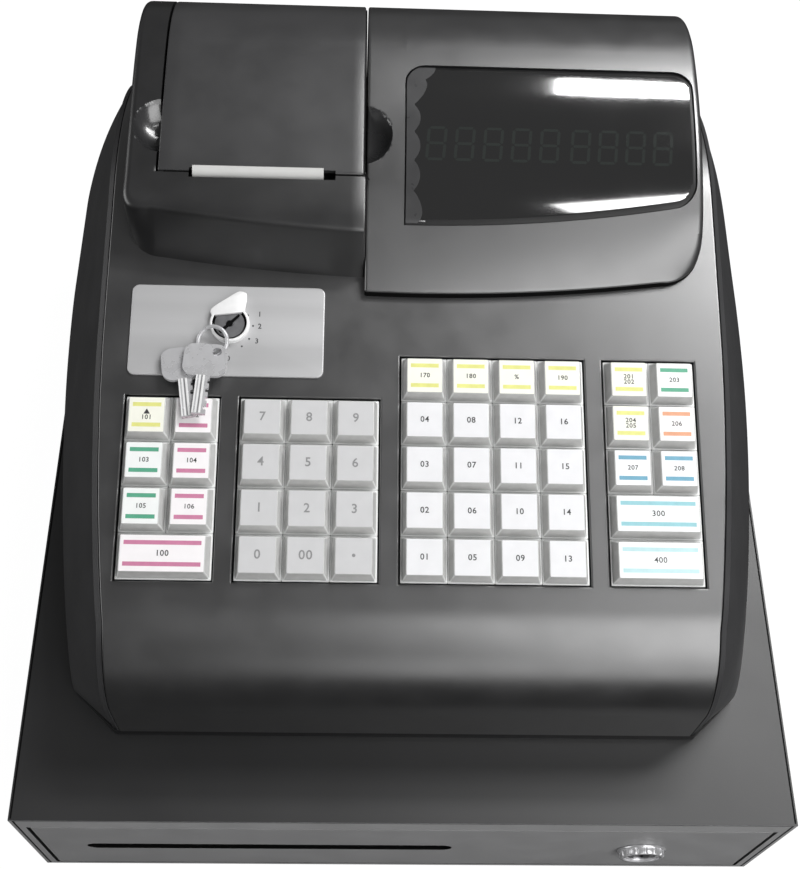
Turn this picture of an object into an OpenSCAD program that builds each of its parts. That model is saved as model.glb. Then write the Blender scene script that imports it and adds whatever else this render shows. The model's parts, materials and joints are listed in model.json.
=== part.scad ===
// Cash register with a receipt printer, a display, a keyboard and a steel cash drawer.
// X runs to the right, the drawer front faces -Y and Z is up. Sizes are in millimetres.
// Depths ("d") are counted from the face of the drawer case towards the back.

/* [Drawer unit] */
// Width of the drawer case
case_w = 330; // [328:1:340]
// Depth of the drawer case
case_d = 360; // [358:1:372]
// Height of the drawer case above its feet
case_h = 85.5; // [85:0.5:90]
// Thickness of the case sheet
case_t = 1.5; // [1.2:0.1:1.6]
// Height of the rubber feet
foot_h = 3.5; // [3:0.5:5]
// How far the drawer lock stands out of the front
lock_out = 4; // [3:0.5:6]
// How many banknote compartments the tray has
bill_n = 4; // [3:1:5]
// How many coin cups the tray has
coin_n = 5; // [4:1:6]

/* [Register body] */
// Height of the base pan under the shells
plinth_h = 5; // [5:0.5:6]
// Depth at which the nose of the body stands
nose_d = 36.5; // [36:0.5:38]
// Radius of the front roll under the keys
nose_r = 42; // [38:1:44]
// Radius of the roll at the back of the body
roll_r = 60; // [58:1:61]
// Slope of the keyboard panel in degrees
panel_slope = 12.4; // [11.5:0.1:13]
// Wall of the moulded shells
shell_t = 2.5; // [2:0.1:2.8]

/* [Keyboard] */
// Pitch of the keys
key_pitch = 19; // [19:0.1:19.2]
// Depth of the middle of the lowest key row
label_d = 85.6; // [85:0.1:86]
// Height of the key labels at that row, above the base pan
label_rise = 74.6; // [74:0.1:76]
// How far the panel lies under the key labels
panel_drop = 4.5; // [4:0.1:5]
// Travel of a key
key_travel = 3; // [2:0.1:3.2]

/* [Printer and display] */
// Height of the hoods above the base pan
hood_rise = 134; // [134:0.5:136]
// Half of the width over both hoods
hood_half = 122.5; // [121:0.5:123]
// Width of the receipt paper
paper_w = 57; // [50:1:58]
// Radius of the paper roll
roll_paper_r = 28; // [20:1:30]

/* [Hidden] */
$fn = 48;
front_y = (lock_out - case_d) / 2;
deck_z = foot_h + case_h;
base_z = deck_z + plinth_h;
label_z = base_z + label_rise;
hood_z = base_z + hood_rise;

// the panel plane, as a height over depth
pl_d = label_d + panel_drop * sin(panel_slope);
pl_z = label_z - panel_drop * cos(panel_slope);
function panel_z(d) = pl_z + (d - pl_d) * tan(panel_slope);

// the key wells: left end, right end, rows and pitch multiples
key_x_left = [-109, -90];
key_x_num = [-62.3, -43.3, -24.3];
key_x_dept = [3.75, 22.75, 41.75, 60.75];
key_x_right = [88.4, 107.4];
WELLS = [
    [-109 - 9.5, -90 + 9.5, 4],
    [-62.3 - 9.5, -24.3 + 9.5, 4],
    [3.75 - 9.5, 60.75 + 9.5, 5],
    [88.4 - 9.5, 107.4 + 9.5, 5]
];

// ---- small helpers -------------------------------------------------------------

module from_front() translate([0, front_y, 0]) children();

// a profile drawn in depth and height, pulled along X
module along_x(x0, x1) translate([x0, 0, 0]) rotate([90, 0, 90]) linear_extrude(x1 - x0) children();

// a place on the keyboard plane: x, distance up the slope, height over the labels
module on_keys(x, s, w) translate([x, label_d, label_z]) rotate([panel_slope, 0, 0])
    translate([0, s, w]) children();

module box(lo, hi) translate(lo) cube(hi - lo);

module round_box(lo, hi, r) translate([0, 0, lo[2]]) linear_extrude(hi[2] - lo[2])
    union() {
        translate([lo[0] + r, lo[1]]) square([hi[0] - lo[0] - 2 * r, hi[1] - lo[1]]);
        translate([lo[0], lo[1] + r]) square([hi[0] - lo[0], hi[1] - lo[1] - 2 * r]);
        for (x = [lo[0] + r, hi[0] - r], y = [lo[1] + r, hi[1] - r]) translate([x, y]) circle(r);
    }

module rod_x(x0, x1, d, z, r) translate([x0, d, z]) rotate([0, 90, 0]) cylinder(h = x1 - x0, r = r);

function arc(c, r, a0, a1, n) = [for (i = [0:n]) c + r * [cos(a0 + (a1 - a0) * i / n), sin(a0 + (a1 - a0) * i / n)]];
function flip(p) = [for (i = [len(p) - 1:-1:0]) p[i]];

// the unit normal on the right of a line, and a path moved that way by t with mitred corners
function right_of(a, b) = let (v = b - a) [v[1], -v[0]] / norm(v);
function inset(p, t) = [for (i = [0:len(p) - 1])
    let (n0 = right_of(p[max(i - 1, 0)], p[max(i, 1)]),
         n1 = right_of(p[min(i, len(p) - 2)], p[min(i + 1, len(p) - 1)]),
         m = n0 + n1)
    p[i] + 2 * t / (m * m) * m];

module band(p, t) polygon(concat(p, flip(inset(p, t))));

// ---- outlines of the body ------------------------------------------------------

roll_d = 282;
flat_d = nose_d + nose_r * (1 - sin(panel_slope));
nose_c = [nose_d + nose_r, panel_z(flat_d) - nose_r * cos(panel_slope)];
roll_c = [roll_d + roll_r * sin(panel_slope), panel_z(roll_d) - roll_r * cos(panel_slope)];
back_d = roll_c[0] + roll_r;

// front bottom edge, over the panel, to the back bottom edge
body_path = concat([[nose_d, base_z]], arc(nose_c, nose_r, 180, 90 + panel_slope, 12),
    arc(roll_c, roll_r, 90 + panel_slope, 0, 11), [[back_d, base_z]]);

// the same line with 40 stations, and the shoulder of the side cheeks beside each
edge_line = concat([[nose_d, base_z]], arc(nose_c, nose_r, 180, 90 + panel_slope, 12),
    [for (i = [1:14]) let (d = flat_d + (roll_d - flat_d) * i / 14) [d, panel_z(d)]],
    [for (i = [1:11]) roll_c + roll_r * [cos((90 + panel_slope) * (1 - i / 11)), sin((90 + panel_slope) * (1 - i / 11))]],
    [[back_d, base_z]]);
shoulder_c = 201;
shoulder_h = 34;
shoulder_end = 314;
function shoulder_z(d) = base_z + max(0.6, d < shoulder_c
    ? shoulder_h * sqrt(max(0, 1 - pow((shoulder_c - d) / 147, 2)))
    : d > shoulder_end ? shoulder_h * sqrt(max(0, 1 - pow((d - shoulder_end) / 36, 2))) : shoulder_h);
d_130 = shoulder_c + 147 * cos(130);
shoulder_d = concat([for (i = [0:13]) shoulder_c + 147 * cos(180 - 50 * i / 13)],
    [for (i = [1:14]) d_130 + (shoulder_end - d_130) * i / 14],
    [for (i = [1:12]) shoulder_end + 36 * sin(90 * i / 12)]);

function panel_half(d) = 130 - (d < 185 ? 8 * pow((185 - max(d, 60)) / 125, 2) : 0);
function cheek_half(d) = d < 240 ? 158.5 - 15.5 * pow((240 - max(d, 54)) / 186, 1.6)
    : d > 290 ? 158.5 - 12 * pow((d - 290) / 62, 2) : 158.5;

panel_side = concat([[panel_half(30), 30]], [for (d = [60:12.5:185]) [panel_half(d), d]], [[130, 370]]);
base_side = concat([[124, nose_d]], [for (d = shoulder_d) [cheek_half(d), d]], [[130, back_d]]);
module both_sides(p) polygon(concat(p, flip([for (q = p) [-q[0], q[1]]])));

// everything inside the body's skin, grown by g
module body_solid(g) along_x(-200, 200) polygon(concat(inset(body_path, -g), []));

// ---- the drawer unit -----------------------------------------------------------

door_x = 158.4;
door_z0 = 7.2;
door_z1 = 75.9;
lock_x = 108;
lock_z = 40.5;
slot_z = 41.5;
roller_d = 24;
roller_z = 30;
roller_r = 8;
latch_d = 350;
latch_z = 34;

module drawer_case() color([0.27, 0.27, 0.28]) from_front() {
    difference() {
        box([-case_w / 2, 0, foot_h], [case_w / 2, case_d, deck_z]);
        box([-case_w / 2 + case_t, -1, foot_h + case_t],
            [case_w / 2 - case_t, case_d - case_t, deck_z - case_t]);
    }
    // front frame that hides the drawer's edges
    for (m = [0, 1]) mirror([m, 0, 0])
        box([160, 0, foot_h + case_t], [case_w / 2 - case_t, 1.5, deck_z - case_t]);
    box([-160, 0, 76.7], [160, 1.5, deck_z - case_t]);
    box([-160, 0, foot_h + case_t], [160, 1.5, 6.4]);
    for (m = [0, 1]) mirror([m, 0, 0]) {
        // guide rail under the drawer's channel, and the axle of the front roller
        box([155, 60, 17], [case_w / 2 - case_t, 355, 20.2]);
        rod_x(154, case_w / 2 - case_t, roller_d, roller_z, 2.5);
        rod_x(159.7, case_w / 2 - case_t, roller_d, roller_z, 4);
    }
    // bracket and pin of the drawer latch
    for (x = [-9.5, 7.5]) difference() {
        box([x, latch_d - 5, foot_h + case_t], [x + 2, latch_d + 5, latch_z + 5]);
        rod_x(x - 1, x + 3, latch_d, latch_z, 2);
    }
    rod_x(-9.5, 9.5, latch_d, latch_z, 2);
}

module rubber_feet() color([0.08, 0.08, 0.08]) from_front()
    for (x = [-145, 145], d = [22, case_d - 22]) translate([x, d, 0]) {
        cylinder(h = foot_h - 1, r = 9);
        translate([0, 0, foot_h - 1]) cylinder(h = 1, r = 8);
    }

// two nylon wheels at the mouth of the case
module front_rollers() color([0.85, 0.85, 0.82]) from_front()
    for (m = [0, 1]) mirror([m, 0, 0]) difference() {
        union() {
            rod_x(154.4, 159.4, roller_d, roller_z, roller_r - 0.4);
            rod_x(154.9, 158.9, roller_d, roller_z, roller_r);
        }
        rod_x(150, 163, roller_d, roller_z, 2.56);
    }

module slot_2d(x0, x1, z, h) union() {
    translate([x0 + h / 2, z - h / 2]) square([x1 - x0 - h, h]);
    for (x = [x0 + h / 2, x1 - h / 2]) translate([x, z]) circle(h / 2);
}
module media_slot(d0, d1) translate([0, d1, 0]) rotate([90, 0, 0]) linear_extrude(d1 - d0)
    slot_2d(-140, 22, slot_z, 9);
module bore_y(x, z, r, d0, d1) translate([x, d1, z]) rotate([90, 0, 0]) cylinder(h = d1 - d0, r = r);

// the painted face, a folded sheet with returns on all four sides
module drawer_front() color([0.42, 0.42, 0.43]) from_front() difference() {
    box([-door_x, 0, door_z0], [door_x, 12, door_z1]);
    box([-door_x + 1.5, 1.5, door_z0 + 1.5], [door_x - 1.5, 13, door_z1 - 1.5]);
    media_slot(-1, 5);
    bore_y(lock_x, lock_z, 9.1, -1, 5);
}

box_d1 = 318;
module drawer_box() color([0.62, 0.62, 0.63]) from_front() {
    difference() {
        box([-153, 12.05, 9], [153, box_d1, 70]);
        box([-151.8, 13.25, 10.2], [151.8, box_d1 - 1.2, 71]);
        media_slot(10, 16);
        bore_y(lock_x, lock_z, 9.1, 10, 16);
    }
    // channels that run on the rollers and the guide rails
    for (m = [0, 1]) mirror([m, 0, 0]) {
        box([153, 14, 38.05], [159.2, box_d1, 39.5]);
        box([153, 14, 20.4], [159.2, box_d1, 21.9]);
    }
    // striker bar for the latch
    for (x = [-10, 8]) box([x, box_d1, 38.6], [x + 2, 333, 45.4]);
    rod_x(-10, 10, 330, 42, 1.6);
}

tray_x = 150.5;
tray_d0 = 30;
tray_d1 = 316;
tray_z0 = 28;
tray_z1 = 69;
tray_wall = 2.5;
clip_d = 306;
clip_z = 62;
function cell_w(n) = (2 * tray_x - (n + 1) * tray_wall) / n;
function cell_x(i, n) = -tray_x + tray_wall + i * (cell_w(n) + tray_wall);
coin_r = 34;
coin_d = tray_d0 + 3 + coin_r;
bill_d0 = coin_d + coin_r + 3;

module cash_tray() color([0.13, 0.13, 0.14]) from_front() difference() {
    box([-tray_x, tray_d0, tray_z0], [tray_x, tray_d1, tray_z1]);
    // coin cups with round bottoms
    for (i = [0:coin_n - 1]) {
        rod_x(cell_x(i, coin_n), cell_x(i, coin_n) + cell_w(coin_n), coin_d, tray_z0 + 2.5 + coin_r, coin_r);
        box([cell_x(i, coin_n), coin_d - coin_r, tray_z0 + 2.5 + coin_r],
            [cell_x(i, coin_n) + cell_w(coin_n), coin_d + coin_r, tray_z1 + 1]);
    }
    // banknote compartments
    for (i = [0:bill_n - 1])
        box([cell_x(i, bill_n), bill_d0, tray_z0 + 2.5],
            [cell_x(i, bill_n) + cell_w(bill_n), tray_d1 - 3, tray_z1 + 1]);
    // the rod of the banknote clips
    rod_x(-149, 149, clip_d, clip_z, 1.58);
}

// spring arms that hold the banknotes down, on one rod
module bill_clips() color([0.2, 0.2, 0.21]) from_front() {
    rod_x(-148.8, 148.8, clip_d, clip_z, 1.5);
    for (i = [0:bill_n - 1]) let (x = cell_x(i, bill_n) + cell_w(bill_n) / 2) {
        rod_x(x - 13, x + 13, clip_d, clip_z, 3);
        translate([x - 11, clip_d, clip_z]) rotate([16, 0, 0]) {
            translate([0, -94, -0.8]) cube([22, 94, 1.6]);
            translate([0, -94, -2.2]) rotate([0, 90, 0]) cylinder(h = 22, r = 2.2);
        }
    }
}

module drawer_lock_collar() color([0.82, 0.82, 0.84]) from_front() difference() {
    union() {
        bore_y(lock_x, lock_z, 11, -1.2, -0.05);
        bore_y(lock_x, lock_z, 10, -lock_out, -1.2);
        bore_y(lock_x, lock_z, 9, -0.05, 22);
    }
    bore_y(lock_x, lock_z, 6.55, -lock_out - 1, 23);
    bore_y(lock_x, lock_z, 8, -lock_out - 1, -lock_out + 1);
}

module drawer_lock_barrel() color([0.7, 0.7, 0.72]) from_front() {
    difference() {
        bore_y(lock_x, lock_z, 6.5, -lock_out + 1.2, 26);
        box([lock_x - 0.8, -lock_out, lock_z - 4], [lock_x + 0.8, 6, lock_z + 4]);
    }
    // cam behind the collar
    difference() {
        box([lock_x - 5, 22.5, lock_z - 6], [lock_x + 5, 25, lock_z + 17]);
        bore_y(lock_x, lock_z, 6.4, 22, 26);
    }
}

// the hook that holds the drawer shut, shown released
module drawer_latch() color([0.72, 0.7, 0.6]) from_front()
    translate([0, latch_d, latch_z]) rotate([16, 0, 0]) difference() {
        union() {
            rotate([0, 90, 0]) translate([0, 0, -7]) cylinder(h = 14, r = 4.5);
            translate([-6.5, -24, -3]) cube([13, 24, 5]);
            translate([-6.5, -25.6, -3]) cube([13, 3.2, 13]);
        }
        rotate([0, 90, 0]) translate([0, 0, -8]) cylinder(h = 16, r = 2.06);
    }

// the spring that throws the drawer open, drawn compressed
spring_turns = 6;
spring_pitch = 5.6;
spring_r = 8;
wire_r = 1.1;
spring_steps = 20 * spring_turns;
// the ring of 8 points around the wire at step i
function spring_ring(i) = let (a = 18 * i, c = [spring_r * cos(a), i / 20 * spring_pitch, spring_r * sin(a)])
    [for (j = [0:7]) c + wire_r * cos(45 * j) * [cos(a), 0, sin(a)] + [0, wire_r * sin(45 * j), 0]];
module ejector_spring() color([0.75, 0.75, 0.77]) from_front() translate([60, box_d1 + 2, 40])
    polyhedron(points = [for (i = [0:spring_steps]) each spring_ring(i)], faces = concat(
        [for (i = [0:spring_steps - 1], j = [0:7]) let (k = (j + 1) % 8)
            [i * 8 + j, i * 8 + k, i * 8 + 8 + j]],
        [for (i = [0:spring_steps - 1], j = [0:7]) let (k = (j + 1) % 8)
            [i * 8 + k, i * 8 + 8 + k, i * 8 + 8 + j]],
        [[7, 6, 5, 4, 3, 2, 1, 0]], [[for (j = [0:7]) spring_steps * 8 + j]]));

// ---- the register body ---------------------------------------------------------

inlet_x = 100;
printer_foot_z = 141;
module base_pan() color([0.16, 0.16, 0.17]) from_front() {
    difference() {
        translate([0, 0, deck_z]) linear_extrude(plinth_h) both_sides(base_side);
        box([-118, 42, deck_z + 2.5], [118, 349, base_z + 1]);
    }
    // posts of the keyboard, the circuit board and the printer
    for (x = [-117, 119], s = [-12, 88]) intersection() {
        on_keys(x, s, -160) cylinder(h = 143.9, r = 2.4);
        box([-130, 40, deck_z + 2.5], [130, 340, 230]);
    }
    for (x = [-105, 105], d = [100, 230]) translate([x, d, deck_z + 2.5]) cylinder(h = 6.4, r = 3.5);
    for (x = [-90, -43], d = [286, 310]) translate([x, d, deck_z + 2.5]) cylinder(h = printer_foot_z - deck_z - 2.5, r = 4);
    // socket for a mains lead at the back
    difference() {
        box([inlet_x - 15, 338, deck_z + 2.5], [inlet_x + 15, 352.2, 124]);
        box([inlet_x - 12, 340.5, 101], [inlet_x + 12, 353, 119]);
    }
}

module top_shell() color([0.3, 0.3, 0.31]) from_front() difference() {
    intersection() {
        along_x(-131, 131) band(body_path, shell_t);
        translate([0, 0, base_z - 1]) linear_extrude(160) both_sides(panel_side);
    }
    for (w = WELLS) on_keys(0, 0, -12)
        box([w[0] - 0.6, -key_pitch / 2 - 0.6, 0], [w[1] + 0.6, (w[2] - 0.5) * key_pitch + 0.6, 12]);
    on_keys(lock_x2, lock_s2, -15) cylinder(h = 15, r = 7.4);
    // room for the printer and the display board
    box([-106, 218, 150], [-25, 340, 240]);
    box([-2, 218, 150], [118, 296, 240]);
    box([inlet_x - 12, 340, 101], [inlet_x + 12, 360, 119]);
}

// one side cheek: a skin lofted from the panel's edge over the shoulder to the base
gap = 0.3;
cheek_n = len(edge_line);
function edge_in(i) = let (a = edge_line[max(i - 1, 0)], b = edge_line[min(i + 1, cheek_n - 1)])
    i == 0 ? [1, 0] : i == cheek_n - 1 ? [-1, 0] : right_of(a, b);
function cheek_pt(i, k, inner) =
    let (e = edge_line[i], d = shoulder_d[i], n = edge_in(i),
         E = [panel_half(e[0]) + gap, e[0], e[1]],
         S = [cheek_half(d), d, shoulder_z(d)],
         B = [S[0], d, base_z],
         u = k / 5,
         K = (E + S) / 2 + [3.2, 0, 2.2] * min(1, (E[2] - S[2]) / 18),
         q = k > 5 ? B : E * pow(1 - u, 2) + K * 2 * u * (1 - u) + S * pow(u, 2),
         v = min(1, u),
         move = [-shell_t * v, shell_t * n[0] * (1 - v), shell_t * n[1] * (1 - v)])
    inner ? let (r = q + move) [r[0], r[1], k > 5 ? base_z : max(r[2], base_z + 0.1 * (6 - k))] : q;
function cheek_ring(i) = concat([for (k = [0:6]) cheek_pt(i, k, false)], [for (k = [6:-1:0]) cheek_pt(i, k, true)]);
module cheek() let (m = 14, pts = [for (i = [0:cheek_n - 1]) each cheek_ring(i)])
    polyhedron(points = pts, faces = concat(
        [for (i = [0:cheek_n - 2], k = [0:m - 1]) let (a = i * m + k, b = i * m + (k + 1) % m) [a, b, a + m]],
        [for (i = [0:cheek_n - 2], k = [0:m - 1]) let (a = i * m + k, b = i * m + (k + 1) % m) [b, b + m, a + m]],
        [for (k = [0:5]) [k, 13 - k, k + 1]], [for (k = [0:5]) [k + 1, 13 - k, 12 - k]],
        [for (k = [0:5]) let (o = (cheek_n - 1) * m) [o + k, o + k + 1, o + 13 - k]],
        [for (k = [0:5]) let (o = (cheek_n - 1) * m) [o + k + 1, o + 12 - k, o + 13 - k]]));
module side_cheek_right() color([0.2, 0.2, 0.21]) from_front() cheek();
module side_cheek_left() color([0.2, 0.2, 0.21]) from_front() mirror([1, 0, 0]) cheek();

// ---- the hoods -----------------------------------------------------------------

seam_x = -21.8;
hood_back = 354;
axis_d = hood_back - 6;
axis_z = hood_z - 32;
hood_roll = arc([hood_back - 32, hood_z - 32], 32, 90, 0, 9);
// printer side: steep front, nearly flat top; display side: one long barrel
printer_path = concat([[204.8, 180], [205, 190], [211.5, hood_z - 14.4], [221, hood_z - 11],
    [240, hood_z - 8.2], [262, hood_z - 4.6], [284, hood_z - 2], [304, hood_z - 0.4]], hood_roll, [[hood_back, 150]]);
barrel_r = 183;
barrel_c = [310, hood_z - barrel_r];
display_path = concat([[190, 184]], arc(barrel_c, barrel_r, 128, 90, 16), hood_roll, [[hood_back, 150]]);

function bow(x) = x * x / 1520;
// plan of a hood from the seam (x0) out to its round corner, on the side of sign s
function hood_plan(x0, s, d0, r) = let (xe = hood_half - r, de = d0 + bow(xe))
    concat([for (i = [0:6]) let (x = x0 + (s * xe - x0) * i / 6) [x, d0 + bow(x)]],
        [for (i = [1:6]) [s * (xe + r * sin(15 * i)), de + r * (1 - cos(15 * i))]],
        [for (i = [0:4]) [s * (hood_half - 10 + 10 * cos(22.5 * i)), hood_back - 10 + 10 * sin(22.5 * i)]],
        [[x0, hood_back]]);
module hood_body(path, x0, s, d0, r, t) intersection() {
    along_x(min(x0, s * hood_half) + t, max(x0, s * hood_half) - t)
        polygon(concat(inset(path, t), [[path[0][0] + t, 150]]));
    translate([0, 0, 150]) linear_extrude(100)
        polygon(inset(s > 0 ? flip(hood_plan(x0, s, d0, r)) : hood_plan(x0, s, d0, r), t));
}

scoop_d = 258;
scoop_z = hood_z - 5.4 + 8;
scoop_x = [-107.2, -23.6];
scoop_r = 16;

module printer_hood() color([0.24, 0.24, 0.25]) from_front() difference() {
    union() {
        difference() {
            hood_body(printer_path, seam_x, -1, 205, 15, 0);
            difference() {
                hood_body(printer_path, seam_x, -1, 205, 15, shell_t);
                // wall beside the cover
                box([-111.8, 233.7, 150], [-109.3, 360, 240]);
            }
            box([-109.3, 236.2, axis_z - 8.5], [0, 360, 260]);
            // exit for the paper
            box([-95.5, 233.7, 200], [-34.5, 236.3, 240]);
        }
        // bowl of the finger scoop
        intersection() {
            translate([scoop_x[0], scoop_d, scoop_z]) sphere(scoop_r + 1.8);
            hood_body(printer_path, seam_x, -1, 205, 15, 0.5);
            box([-121.5, 230, 190], [-109.3, 290, 240]);
        }
        rod_x(-110, -102.5, axis_d, axis_z, 2.5);
    }
    translate([scoop_x[0], scoop_d, scoop_z]) sphere(scoop_r);
    body_solid(0.1);
}

lens_x = [-5.5, 119.5];
lens_d = [222, 292];
module lens_cut(g) round_box([lens_x[0] + g, lens_d[0] + g, 150], [lens_x[1] - g, lens_d[1] - g, 260], 9 - g);

module display_hood() color([0.3, 0.3, 0.31]) from_front() difference() {
    union() {
        difference() {
            hood_body(display_path, seam_x + 0.2, 1, 196.5, 18, 0);
            hood_body(display_path, seam_x + 0.2, 1, 196.5, 18, shell_t);
            lens_cut(0);
        }
        intersection() {
            translate([scoop_x[1], scoop_d, scoop_z]) sphere(scoop_r + 1.8);
            hood_body(display_path, seam_x + 0.2, 1, 196.5, 18, 0.5);
        }
        rod_x(-29, seam_x + 1, axis_d, axis_z, 2.5);
    }
    translate([scoop_x[1], scoop_d, scoop_z]) sphere(scoop_r);
    body_solid(0.1);
}

module display_window() color([0.03, 0.03, 0.04]) from_front() intersection() {
    along_x(-10, 125) difference() {
        translate(barrel_c) circle(barrel_r - 0.3, $fn = 180);
        translate(barrel_c) circle(barrel_r - 2.3, $fn = 180);
    }
    lens_cut(0.2);
}

// circuit board with two groups of digits, tilted with the window
digit_w = 10.6;
digit_pitch = 12;
module display_board() color([0.1, 0.3, 0.16]) from_front()
    translate([57, 256, 203]) rotate([17.6, 0, 0]) {
        box([-56, -26, 0], [58, 26, 1.6]);
        for (g = [[-52, 4], [2, 4]]) box([g[0], -12, 1.65], [g[0] + g[1] * digit_pitch + digit_w / 2, 12, 8]);
    }

module printer_cover() color([0.29, 0.29, 0.3]) from_front() difference() {
    union() {
        intersection() {
            union() {
                along_x(-109, -22.1) band(printer_path, 2.4);
                for (x = [-109, -24.1]) along_x(x, x + 2) polygon(concat(printer_path,
                    [[axis_d, axis_z]], flip([for (q = inset(printer_path, 12)) if (q[0] > 230 && q[0] < 338) q])));
            }
            box([-110, 236.5, axis_z], [-20, 360, 260]);
        }
        rod_x(-108.8, -22.3, axis_d, axis_z, 6);
    }
    rod_x(-110, -20, axis_d, axis_z, 2.55);
    // exit for the paper
    box([-95.5, 230, 200], [-34.5, 238.3, 240]);
}

platen_d = 228;
platen_z = 202;
well_d = 298;
well_z = 176;
module printer_mechanism() color([0.35, 0.35, 0.36]) from_front() {
    // side plates of the print head
    for (x = [-104.4, -31]) difference() {
        along_x(x, x + 2.4) polygon([[219, 186], [219, 210], [246, 210], [262, 196], [262, 182]]);
        rod_x(x - 1, x + 4, platen_d, platen_z, 2.56);
    }
    // print head block and its base
    box([-102, 240, 188], [-31, 250, 207]);
    box([-102, 250, 188], [-31, 265, 192]);
    // trough of the paper roll, open at the top
    difference() {
        along_x(-102, -31) union() {
            translate([well_d, well_z]) circle(34, $fn = 96);
            translate([well_d - 34, well_z]) square([68, 18]);
        }
        along_x(-100, -33) union() {
            translate([well_d, well_z]) circle(32, $fn = 96);
            translate([well_d - 32, well_z]) square([64, 40]);
        }
        box([-110, 250, well_z + 18], [0, 340, 240]);
    }
    for (x = [-100.5, -43]) rod_x(x, x + 10.5, well_d, well_z, 5.93);
    // feet on the base pan's posts
    for (x = [-90, -43], d = [286, 310]) translate([x, d, printer_foot_z + 0.05]) cylinder(h = 4, r = 4);
}

module platen_roller() color([0.12, 0.12, 0.12]) from_front() {
    rod_x(-101, -32, platen_d, platen_z, 7);
    rod_x(-104.6, -28.4, platen_d, platen_z, 2.5);
}

paper_x = -66.5;
module paper_roll() color([0.95, 0.95, 0.93]) from_front() difference() {
    rod_x(paper_x - paper_w / 2, paper_x + paper_w / 2, well_d, well_z, roll_paper_r);
    rod_x(paper_x - paper_w, paper_x + paper_w, well_d, well_z, 6);
}

// ---- lock, plate and keyboard --------------------------------------------------

lock_x2 = -77.5;
lock_s2 = 98;
module label_plate() color([0.72, 0.72, 0.73]) from_front() difference() {
    on_keys(0, 0, -panel_drop + 0.02) round_box([-118.9, 75.6, 0], [-38.2, 115.6, 1], 3);
    on_keys(lock_x2, lock_s2, -12) cylinder(h = 15, r = 7.3);
}

module mode_lock_collar() color([0.88, 0.88, 0.9]) from_front() on_keys(lock_x2, lock_s2, 0) difference() {
    union() {
        translate([0, 0, -3.45]) cylinder(h = 3, r = 8.2);
        translate([0, 0, -16]) cylinder(h = 12.6, r = 7);
        // pointer tab
        translate([0, 0, -3.45]) linear_extrude(2)
            polygon([[-7.5, 4.5], [-7.8, 6.3], [2.2, 13.6], [4, 14.2], [6.2, 13.6], [6.8, 12], [5.5, 6]]);
    }
    translate([0, 0, -17]) cylinder(h = 18, r = 6.25);
}

module mode_lock_barrel() color([0.5, 0.5, 0.52]) from_front() on_keys(lock_x2, lock_s2, 0) difference() {
    translate([0, 0, -19]) cylinder(h = 17.4, r = 6.2);
    rotate([0, 0, 45]) translate([-5, -0.7, -10]) cube([10, 1.4, 10]);
    translate([0, 0, -10]) cylinder(h = 10, r = 1.6);
}

// split ring with two flat keys: the ring leans on the lock, the blades rest on a key cap
module flat_key() difference() {
    union() {
        round_box([-9, -7.5, 0], [9, 7.5, 1.6], 4.5);
        translate([-2.8, -25, 0]) cube([5.6, 20, 1.6]);
    }
    translate([4.5, 4, -1]) cylinder(h = 4, r = 1.9);
    for (i = [0:3]) translate([1.6 + (i % 2) * 0.5, -23 + i * 4, -1]) cube([4, 1.8, 4]);
}
key_lean = 10;
module keys_on_ring() color([0.8, 0.8, 0.81]) from_front() {
    on_keys(-95.5, 79.5, -1.6) rotate([-key_lean, 0, 9]) flat_key();
    on_keys(-86.5, 80.5, 0.05) rotate([-key_lean, 0, -3]) flat_key();
    on_keys(-84, 89.5, -0.35) rotate([19.3, 0, -37.4]) rotate_extrude() translate([6.2, 0]) circle(0.8, $fn = 16);
}

deck_w = -14;
module key_deck() color([0.25, 0.27, 0.26]) from_front() difference() {
    on_keys(0, 0, deck_w - 2) box([-121, -16, 0], [123, 92, 2]);
    for (x = concat(key_x_left, key_x_num), r = [0:3]) stem_hole(x, r);
    for (x = key_x_dept, r = [0:4]) stem_hole(x, r);
    for (x = key_x_right, r = [0:4]) stem_hole(x, r);
    on_keys(lock_x2, lock_s2, deck_w - 4) cylinder(h = 6, r = 8.5);
}
module stem_hole(x, r) on_keys(x, r * key_pitch, deck_w - 4) cylinder(h = 6, r = 4.06);

module main_board() color([0.12, 0.35, 0.2]) from_front() {
    box([-112, 90, 98], [112, 240, 99.6]);
    box([-60, 120, 99.65], [-30, 150, 102]);
    box([0, 110, 99.65], [40, 128, 103]);
    box([60, 150, 99.65], [100, 190, 128]);
    for (x = [-80, -62, 20]) translate([x, 190, 99.65]) cylinder(h = 18, r = 6);
}

// ---- the keys ------------------------------------------------------------------

// a cap with sloping skirts on round stems: middle, row, width in pitches
module key_cap(x, row, n) on_keys(x, row * key_pitch, 0) {
    hull() {
        translate([-n * key_pitch / 2 + 0.35, -key_pitch / 2 + 0.35, -6.2]) cube([n * key_pitch - 0.7, key_pitch - 0.7, 0.6]);
        translate([-n * key_pitch / 2 + 2, -key_pitch / 2 + 2, 0.7]) cube([n * key_pitch - 4, key_pitch - 4, 0.1]);
    }
    for (i = [0:n - 1]) translate([(i - (n - 1) / 2) * key_pitch, 0, -21]) cylinder(h = 15, r = 4);
}

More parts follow.
